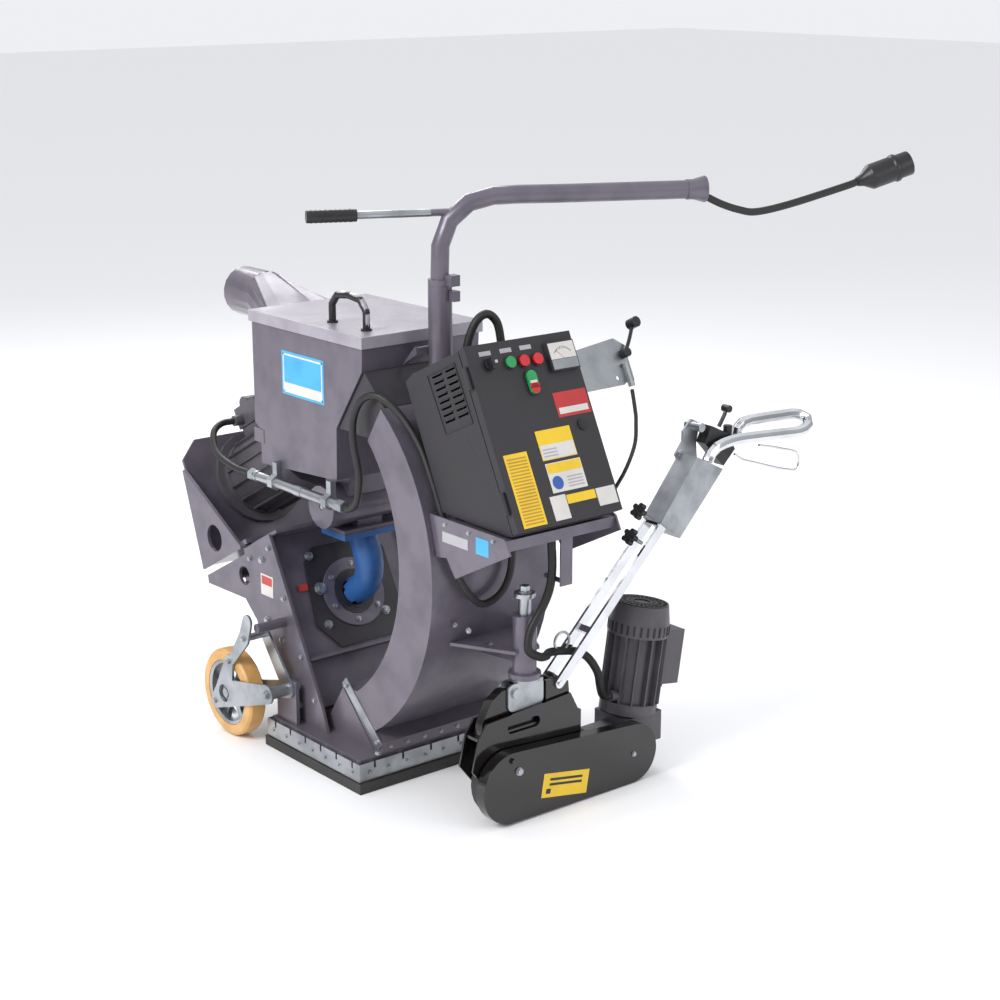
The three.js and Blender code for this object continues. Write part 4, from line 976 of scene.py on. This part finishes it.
    def _buttons(self) -> None:
        """Red lower half and white lamp of the double button, and the key of the switch."""
        frame = door_frame()
        key = bmesh.new()
        brick(key, (22, -103, 366), (33, -96, 373), frame)
        self.shop.mesh("selector_key", key, CHROME, "selector", bevel_mm=0.8)
        lower = bmesh.new()
        face = self.lamp_face
        a, b = Vector((face, 1.4, 302.2)), Vector((face + 1.1, 1.4, 302.2))
        cylinder(lower, frame @ a, frame @ b, 12.4)
        brick(lower, (face, -11, 302.2), (face + 1.1, 13.8, 313), frame)
        self.shop.mesh("double_button_lower", lower, RED, "double_push", bevel_mm=0.4)
        lamp = bmesh.new()
        brick(lamp, (face + 0.1, -8, 313.4), (face + 1.3, 10.8, 319.4), frame)
        self.shop.mesh("double_button_lamp", lamp, LABEL_WHITE, "double_push", bevel_mm=0.4)


@dataclass
class Fasteners:
    """Bolts, nuts and washers, one piece for each group on a body.

    Attributes:
        shop: the workshop.
        seal_z: height of the bolts of the seal strip.
        seal_side: Y of the strip at the sides.
        plate_face: X of the leaning plate's face in its own frame.
        strap_y: Y of the side strap.
        duct_foot_x: X of the bolts at the duct's foot.
        cover_face: X of the chain cover's face.
    """

    shop: Workshop
    seal_z: float = 48.0
    seal_side: float = 250.0
    plate_face: float = -27.6
    strap_y: float = -176.6
    duct_foot_x: float = -11.0
    cover_face: float = 362.0

    def build(self) -> None:
        """Adds every group."""
        self._skirt()
        self._frame()
        self._duct()
        self._tray()
        self._drive()

    def _group(self, name: str, body: str, items: Iterable[tuple[Point, Point, float]]) -> None:
        """Adds one group of bolts.

        Args:
            name: object name.
            body: CAD body that it moves with.
            items: foot, axis and thread size of each bolt.
        """
        bm = bmesh.new()
        for at, axis, size in items:
            bolt(bm, at, axis, size)
        self.shop.mesh(name, bm, ZINC, body)

    def _skirt(self) -> None:
        """Small bolts along the clamp strip of the floor seal."""
        items = []
        for i in range(9):
            y = -220 + i * 55
            items.append(((0, y, self.seal_z), (1, 0, 0), 5))
        for side in (-1, 1):
            for i in range(7):
                x = -366 + i * 56
                items.append(((x, side * self.seal_side, self.seal_z), (0, side, 0), 5))
        self._group("seal_bolts", "machine", items)

    def _frame(self) -> None:
        """Bolts of the side plates and of the leaning front plate."""
        items = []
        lean = leaning_frame()
        out = lean.to_3x3() @ Vector((1, 0, 0))
        for side in (-1, 1):
            y = side * SIDE_PLATE_Y
            for n, t in ((-20, 40), (-20, 150), (-20, 300), (-20, 430), (-118, 430), (-118, 250)):
                items.append((lean @ Vector((n, y, t)), (0, side, 0), 7))
            items.append(((-372, y, 92), (0, side, 0), 7))
            for x, z in ((-448, 303), (-382, 268), (-314, 117), (-466, 455)):
                items.append(((x, y, z), (0, side, 0), 9))
            items.append(((0, side * 196, 88), (0, 0, 1), 8))
        for y, t in ((-96, 390), (-99, 212), (77, 213), (90, 390)):
            items.append((lean @ Vector((self.plate_face, y, t)), out, 11))
        items.append((lean @ Vector((self.plate_face, -92, 304)), out, 15))
        self._group("frame_bolts", "machine", items)
        strap = bmesh.new()
        along = Vector((-16, 0, 93)) - Vector((-160, 0, 221))
        place = aim(along, Vector((-88, self.strap_y, 157)))
        half = along.length / 2
        side_axis = place.to_3x3().inverted() @ Vector((0, 1, 0))
        if abs(side_axis.x) > abs(side_axis.y):
            brick(strap, (-1.4, -12, -half), (1.4, 12, half), place)
        else:
            brick(strap, (-12, -1.4, -half), (12, 1.4, half), place)
        self.shop.mesh("side_strap", strap, ZINC, "machine", bevel_mm=0.6)
        self._group(
            "strap_bolts", "machine",
            [((-150, -178, 212), (0, -1, 0), 8), ((-26, -178, 102), (0, -1, 0), 8)],
        )

    def _duct(self) -> None:
        """Row of bolts at the foot of the duct."""
        items = []
        for i in range(7):
            y = -150 + i * 50
            items.append(((self.duct_foot_x, y, 92), (1, 0, 0), 5))
        self._group("duct_foot_bolts", "machine", items)

    def _tray(self) -> None:
        """Bolts on the side of the cabinet tray."""
        items = []
        lo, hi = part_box("cabinet_tray")
        for x in (0.2, 0.5, 0.8):
            px = (lo.x + (hi.x - lo.x) * x) / MM
            items.append(((px, lo.y / MM, hi.z / MM - 14), (0, -1, 0), 5))
        self._group("tray_bolts", "machine", items)

    def _drive(self) -> None:
        """Bolts on the bracket and on the chain cover."""
        lo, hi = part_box("kingpin_bracket")
        items = [
            ((lo.x / MM + 40, lo.y / MM, 440), (0, -1, 0), 7),
            ((lo.x / MM + 90, lo.y / MM, 440), (0, -1, 0), 7),
        ]
        self._group("bracket_bolts", "machine", items)
        x = self.cover_face
        cover = [((x, -66, 128), (1, 0, 0), 9), ((x, 288, 76), (1, 0, 0), 6)]
        self._group("cover_bolts", "drive_unit", cover)


@dataclass
class Wheels:
    """Nuts of the rear wheel arms.

    Attributes:
        shop: the workshop.
        arm_y: Y of the outer face of an arm.
        nuts: X, Z and thread size of each nut.
    """

    shop: Workshop
    arm_y: float = 300.0
    nuts: tuple[Point, ...] = ((-314, 167, 11), (-411, 285, 8), (-484, 205, 7), (-556, 80, 7))

    def build(self) -> None:
        """Adds the nuts to both arms."""
        for side, body in ((-1, "left_arm"), (1, "right_arm")):
            bm = bmesh.new()
            for x, z, size in self.nuts:
                bolt(bm, (x, side * self.arm_y, z), (0, side, 0), size)
            self.shop.mesh(f"{body}_nuts", bm, ZINC, body)


@dataclass
class Controls:
    """Small items on the tiller and the chain cover.

    Attributes:
        shop: the workshop.
        stud_x: X of the tiller's clamping studs.
        lobes: number of lobes of a star knob.
        lobe_reach: distance of a lobe from the knob's centre.
        cover_face: X of the chain cover's face.
        label_tilt: tilt of the cover label in degrees.
    """

    shop: Workshop
    stud_x: float = 302.0
    lobes: int = 5
    lobe_reach: float = 14.0
    cover_face: float = 362.0
    label_tilt: float = -10.0

    def build(self) -> None:
        """Adds the knobs and the cover label."""
        self._knobs()
        self._cover_label()

    def _knobs(self) -> None:
        """Star knobs on studs that clamp the tiller's telescope."""
        for i, (y, z, y1, z1) in enumerate(((347, 650, 387, 624), (321, 593, 358, 570))):
            stud = bmesh.new()
            cylinder(stud, (self.stud_x, y, z), (self.stud_x, y1, z1), 4.5, sides=16)
            self.shop.mesh(f"clamp_stud_{i}", stud, ZINC, "tiller")
            knob = bmesh.new()
            axis = Vector((0, y - y1, z - z1)).normalized()
            place = aim(axis, (self.stud_x, y, z))
            cylinder(knob, place @ Vector((0, 0, -9)), place @ Vector((0, 0, 9)), 12)
            for k in range(self.lobes):
                a = 2 * math.pi * k / self.lobes
                c = Vector((math.cos(a), math.sin(a), 0)) * self.lobe_reach
                half = Vector((0, 0, 8))
                cylinder(knob, place @ (c - half), place @ (c + half), 6.5, sides=16)
            self.shop.mesh(f"star_knob_{i}", knob, PLASTIC, "tiller", bevel_mm=1.0)

    def _cover_label(self) -> None:
        """Blank yellow patch on the chain cover."""
        tilt = Matrix.Rotation(math.radians(self.label_tilt), 4, "X")
        place = Matrix.Translation((self.cover_face, 74, 60)) @ tilt
        bm = bmesh.new()
        brick(bm, (0.1, -70, -29), (0.6, 70, 29), place)
        self.shop.mesh("cover_label", bm, LABEL_YELLOW, "drive_unit", bevel_mm=0.2)
        marks = bmesh.new()
        for z in (14, 2):
            brick(marks, (0.5, -50, z - 3), (0.9, 50, z + 3), place)
        brick(marks, (0.5, -58, -20), (0.9, -44, -8), place)
        self.shop.mesh("cover_label_bars", marks, BLACK_PRINT_AND_SHADE, "drive_unit")


@dataclass
class Trim:
    """Sleeves, nuts, patches and grilles on the rest of the machine.

    Attributes:
        shop: the workshop.
        heading: heading of the boom in degrees.
        lever_z: height of the boom's turning lever.
        boom_z: height of the boom.
        sleeve_radius: radius of the lid handle's sleeve.
        hopper_side: Y of the hopper's side.
        tray_side: lowest and highest Y of a tray patch.
        cage_t: place of the control cage up the leaning plate.
        cage_bolts: number of bolts in its flange.
        cowl_ribs: number of ribs round the drive motor's cowl.
        ring_radius: radius of the hose ring.
        ring_wire: radius of its wire.
    """

    shop: Workshop
    heading: float = 65.0
    lever_z: float = 1344.0
    boom_z: float = 1378.0
    sleeve_radius: float = 8.6
    hopper_side: float = -170.0
    tray_side: Point = (-161.6, -160.9)
    cage_t: float = 278.0
    cage_bolts: int = 6
    cowl_ribs: int = 28
    ring_radius: float = 22.0
    ring_wire: float = 3.0

    def build(self) -> None:
        """Adds every item."""
        self._boom()
        self._lid_handle()
        self._conduit()
        self._patches()
        self._elbow()
        self._drive_motor()
        self._hose_ring()

    def _boom(self) -> None:
        """Black grip and bright bar of the turning lever, and the rim of the bell."""
        turn = math.radians(self.heading)
        away = Vector((math.cos(turn), math.sin(turn), 0))
        lift = Vector((0, 0, self.lever_z))
        grip = bmesh.new()
        cylinder(grip, away * -302.4 + lift, away * -189 + lift, 14.4, sides=32)
        for i in range(9):
            s = -292 + i * 11
            cylinder(grip, away * (s - 3) + lift, away * (s + 3) + lift, 15.0, sides=32)
        self.shop.mesh("boom_grip", grip, PLASTIC, "boom", bevel_mm=0.6)
        bar = bmesh.new()
        cylinder(bar, away * -188.5 + lift, away * -21 + lift, 8.9, sides=28)
        self.shop.mesh("boom_lever_sleeve", bar, ZINC, "boom")
        rim = bmesh.new()
        place = aim(away, away * 629 + Vector((0, 0, self.boom_z)))
        revolve(rim, [(27.5, -3), (30.6, -3), (30.6, 1.5), (27.5, 1.5)], place)
        self.shop.mesh("boom_bell_rim", rim, GREY, "boom", bevel_mm=0.5)

    def _lid_handle(self) -> None:
        """Black plastic sleeve of the lid's carrying handle, with its feet."""
        x, y, half, top = -195, -116, 68, 1070
        rise = [
            (-half, 0), (-half, 44), (22 - half, 68), (0, 73),
            (half - 22, 68), (half, 44), (half, 0),
        ]
        path = [(x + along, y, top + up) for along, up in rise]
        radius = self.sleeve_radius
        bm = bmesh.new()
        for a, b in zip(path, path[1:]):
            cylinder(bm, a, b, radius, sides=20)
            place = Matrix.Translation(b)
            bmesh.ops.create_uvsphere(bm, u_segments=16, v_segments=10, radius=radius, matrix=place)
        for foot in (path[0], path[-1]):
            cylinder(bm, foot, Vector(foot) + Vector((0, 0, 5)), 13, sides=24)
        self.shop.mesh("lid_handle_sleeve", bm, PLASTIC, "lid")

    def _conduit(self) -> None:
        """Gland nuts at the ends of the conduit and clamps round it."""
        y, z = -186, 660
        nuts = bmesh.new()
        for x0, x1, r, sides in (
            (-527, -507, 16, 6), (-507, -495, 14, 24), (-152, -128, 16, 6),
            (-164, -152, 14, 24), (-330, -300, 14, 24),
        ):
            cylinder(nuts, (x0, y, z), (x1, y, z), r, sides=sides)
        self.shop.mesh("conduit_nuts", nuts, ZINC, "machine", bevel_mm=0.6)

    def _patches(self) -> None:
        """Blank coloured patches on the hopper, the tray and the side plate."""
        side = self.hopper_side
        square = bmesh.new()
        brick(square, (-402, side - 0.6, 884), (-226, side + 0.1, 990))
        self.shop.mesh("hopper_patch", square, LABEL_CYAN, "machine", bevel_mm=0.2)
        frame = bmesh.new()
        for x0, x1, z0, z1 in (
            (-396, -232, 980, 984), (-396, -232, 890, 894),
            (-396, -392, 890, 984), (-236, -232, 890, 984),
        ):
            brick(frame, (x0, side - 0.9, z0), (x1, side - 0.5, z1))
        self.shop.mesh("hopper_patch_frame", frame, LABEL_WHITE, "machine")
        strip = bmesh.new()
        brick(strip, (-392, side - 0.9, 894), (-236, side - 0.5, 914))
        self.shop.mesh("hopper_patch_strip", strip, LABEL_WHITE, "machine")
        shield = bmesh.new()
        brick(shield, (-473, -SIDE_PLATE_Y - 0.7, 366), (-419, -SIDE_PLATE_Y + 0.1, 420))
        self.shop.mesh("side_patch", shield, LABEL_WHITE, "machine", bevel_mm=0.2)
        inner = bmesh.new()
        brick(inner, (-469, -SIDE_PLATE_Y - 1.0, 394), (-423, -SIDE_PLATE_Y - 0.6, 416))
        self.shop.mesh("side_patch_band", inner, LABEL_RED, "machine")
        mark = bmesh.new()
        brick(mark, (-28.0, -150, 308), (-27.2, -123, 325), leaning_frame())
        self.shop.mesh("plate_mark", mark, LABEL_RED, "machine")
        tray = bmesh.new()
        out, back = self.tray_side
        brick(tray, (210, out, 652), (300, back, 676))
        self.shop.mesh("tray_patch", tray, LABEL_GREY, "machine", bevel_mm=0.2)
        small = bmesh.new()
        brick(small, (328, out, 652), (372, back, 690))
        self.shop.mesh("tray_patch_small", small, LABEL_CYAN, "machine", bevel_mm=0.2)

    def _elbow(self) -> None:
        """Bolted round flange where the elbow enters the leaning plate, and its top gasket."""
        lean = leaning_frame()
        out = lean.to_3x3() @ Vector((1, 0, 0))
        ring = bmesh.new()
        place = aim(out, lean @ Vector((-24.5, 0, self.cage_t)))
        revolve(ring, [(56, -4), (88, -4), (88, 4), (56, 4)], place)
        self.shop.mesh("cage_flange", ring, GREY, "machine", bevel_mm=0.8)
        bolts = bmesh.new()
        for i in range(self.cage_bolts):
            a = math.radians(20) + 2 * math.pi * i / self.cage_bolts
            seat = Vector((-20.5, 72 * math.cos(a), self.cage_t + 72 * math.sin(a)))
            bolt(bolts, lean @ seat, out, 7)
        self.shop.mesh("cage_flange_bolts", bolts, ZINC, "machine")
        gasket = bmesh.new()
        brick(gasket, (-378, -88, 540.6), (-272, 88, 541.8))
        self.shop.mesh("elbow_gasket", gasket, GASKET, "machine")

    def _drive_motor(self) -> None:
        """Ribs and fan grille on the cowl of the drive motor."""
        base = Matrix.Translation((270, 354, 160)) @ Matrix.Rotation(math.radians(-9), 4, "X")
        ribs = bmesh.new()
        for i in range(self.cowl_ribs):
            a = 2 * math.pi * i / self.cowl_ribs
            place = base @ Matrix.Rotation(a, 4, "Z")
            brick(ribs, (70, -2.2, 182), (75.2, 2.2, 206), place)
            brick(ribs, (20, -1.8, 251), (62, 1.8, 254.5), place)
        for radius in (22, 36, 50, 63):
            inner, outer = radius - 1.5, radius + 1.5
            revolve(ribs, [(inner, 251), (outer, 251), (outer, 255), (inner, 255)], base, 40)
        self.shop.mesh("cowl_grille", ribs, PLASTIC, "drive_unit", bevel_mm=0.4)

    def _hose_ring(self) -> None:
        """Wire ring on the tiller that guides the drive hose."""
        eye = bmesh.new()
        place = Matrix.Translation((302, 112, 382)) @ Matrix.Rotation(math.radians(40), 4, "X")
        profile = []
        for k in range(10):
            a = 2 * math.pi * k / 10
            reach = self.ring_radius + self.ring_wire * math.cos(a)
            profile.append((reach, self.ring_wire * math.sin(a)))
        revolve(eye, profile, place @ Matrix.Rotation(math.pi / 2, 4, "Y"), 32)
        self.shop.mesh("hose_ring", eye, ZINC, "tiller")


# ------------------------------------------------------------------ stage
@dataclass
class Studio:
    """Floor, lights and camera.

    Attributes:
        lens: focal length in millimetres on a 36 mm sensor.
        stand: place of the camera in metres.
        azimuth: direction of the camera seen from the machine, in degrees.
        elevation: its height angle in degrees.
        floor_half: half the side of the floor in metres.
        lamps: name, place, size and power of each area lamp.
    """

    lens: float = 72.3
    stand: Point = (3.578, -2.763, 1.935)
    azimuth: float = 50.6
    elevation: float = 15.6
    floor_half: float = 30.0
    lamps: tuple[tuple[str, Point, float, float], ...] = (
        ("key", (0.2, -4.4, 3.8), 2.2, 200),
        ("fill", (4.6, 1.6, 2.6), 2.0, 45),
        ("rim", (-3.6, 1.6, 3.8), 2.2, 90),
    )

    def build(self) -> None:
        """Makes the whole stage."""
        self._camera()
        self._floor()
        self._lights()

    def _camera(self) -> None:
        """Sets up the camera."""
        data = bpy.data.cameras.new("camera")
        data.lens = self.lens
        data.sensor_width = 36.0
        data.clip_start = 0.05
        data.clip_end = 60
        cam = bpy.data.objects.new("camera", data)
        bpy.context.scene.collection.objects.link(cam)
        a, e = math.radians(self.azimuth), math.radians(self.elevation)
        back = Vector((math.sin(a) * math.cos(e), -math.cos(a) * math.cos(e), math.sin(e)))
        cam.location = self.stand
        cam.rotation_mode = "QUATERNION"
        cam.rotation_quaternion = (-back).to_track_quat("-Z", "Y")
        bpy.context.scene.camera = cam

    def _floor(self) -> None:
        """Lays the plain pale floor."""
        bm = bmesh.new()
        bmesh.ops.create_grid(bm, x_segments=1, y_segments=1, size=self.floor_half)
        data = bpy.data.meshes.new("floor")
        bm.to_mesh(data)
        bm.free()
        floor = bpy.data.objects.new("floor", data)
        bpy.context.scene.collection.objects.link(floor)
        mat = bpy.data.materials.new("pale_studio_floor")
        mat.use_nodes = True
        shader = mat.node_tree.nodes["Principled BSDF"]
        shader.inputs["Base Color"].default_value = linear("#fafafb")
        shader.inputs["Roughness"].default_value = 0.75
        data.materials.append(mat)

    def _lights(self) -> None:
        """Makes the studio's dome of light and its three lamps."""
        world = bpy.data.worlds.new("studio")
        world.use_nodes = True
        tree = world.node_tree
        back = tree.nodes["Background"]
        back.inputs["Color"].default_value = linear("#f4f5f8")
        coord = add_node(tree, "ShaderNodeTexCoord")
        split = add_node(tree, "ShaderNodeSeparateXYZ", {"Vector": coord.outputs["Generated"]})
        # A bright band stands at the horizon, then the light rises from dim to full overhead.
        height = add_node(tree, "ShaderNodeValToRGB", {"Fac": split.outputs["Z"]})
        ramp = height.color_ramp
        ramp.elements[0].position, ramp.elements[0].color = 0.05, (0.95, 0.95, 0.95, 1)
        ramp.elements[1].position, ramp.elements[1].color = 0.62, (1.0, 1.0, 1.0, 1)
        ramp.elements.new(0.11).color = (0.3, 0.3, 0.3, 1)
        tree.links.new(height.outputs["Color"], back.inputs["Strength"])
        bpy.context.scene.world = world
        bpy.context.scene.view_settings.view_transform = "Standard"
        centre = Vector((-0.1, 0, 0.6))
        for name, at, size, power in self.lamps:
            data = bpy.data.lights.new(name, "AREA")
            data.size = size
            data.energy = power
            lamp = bpy.data.objects.new(name, data)
            lamp.location = at
            lamp.rotation_mode = "QUATERNION"
            lamp.rotation_quaternion = (centre - Vector(at)).to_track_quat("-Z", "Y")
            bpy.context.scene.collection.objects.link(lamp)


def dress_nodes(shop: Workshop, nodes: dict[str, bpy.types.Object]) -> None:
    """Gives every CAD node its finish, broken edges and smooth shading.

    Args:
        shop: the workshop that holds the materials.
        nodes: CAD objects by node name.
    """
    for finish, names in NODE_FINISH.items():
        for name in names:
            shop.dress(nodes[name], finish)
            soften(nodes[name], 0.8)
    LOG.info("dressed %d nodes", len(nodes))


def main() -> None:
    """Builds the scene in order."""
    logging.basicConfig(level=logging.INFO, format="%(name)s: %(message)s")
    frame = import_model()
    shop = Workshop()
    Studio().build()
    Cables(shop).build()
    dress_nodes(shop, frame["nodes"])
    for part in (Cabinet(shop), Fasteners(shop), Wheels(shop), Controls(shop), Trim(shop)):
        LOG.info("building %s", type(part).__name__)
        part.build()


if __name__ == "__main__":
    main()
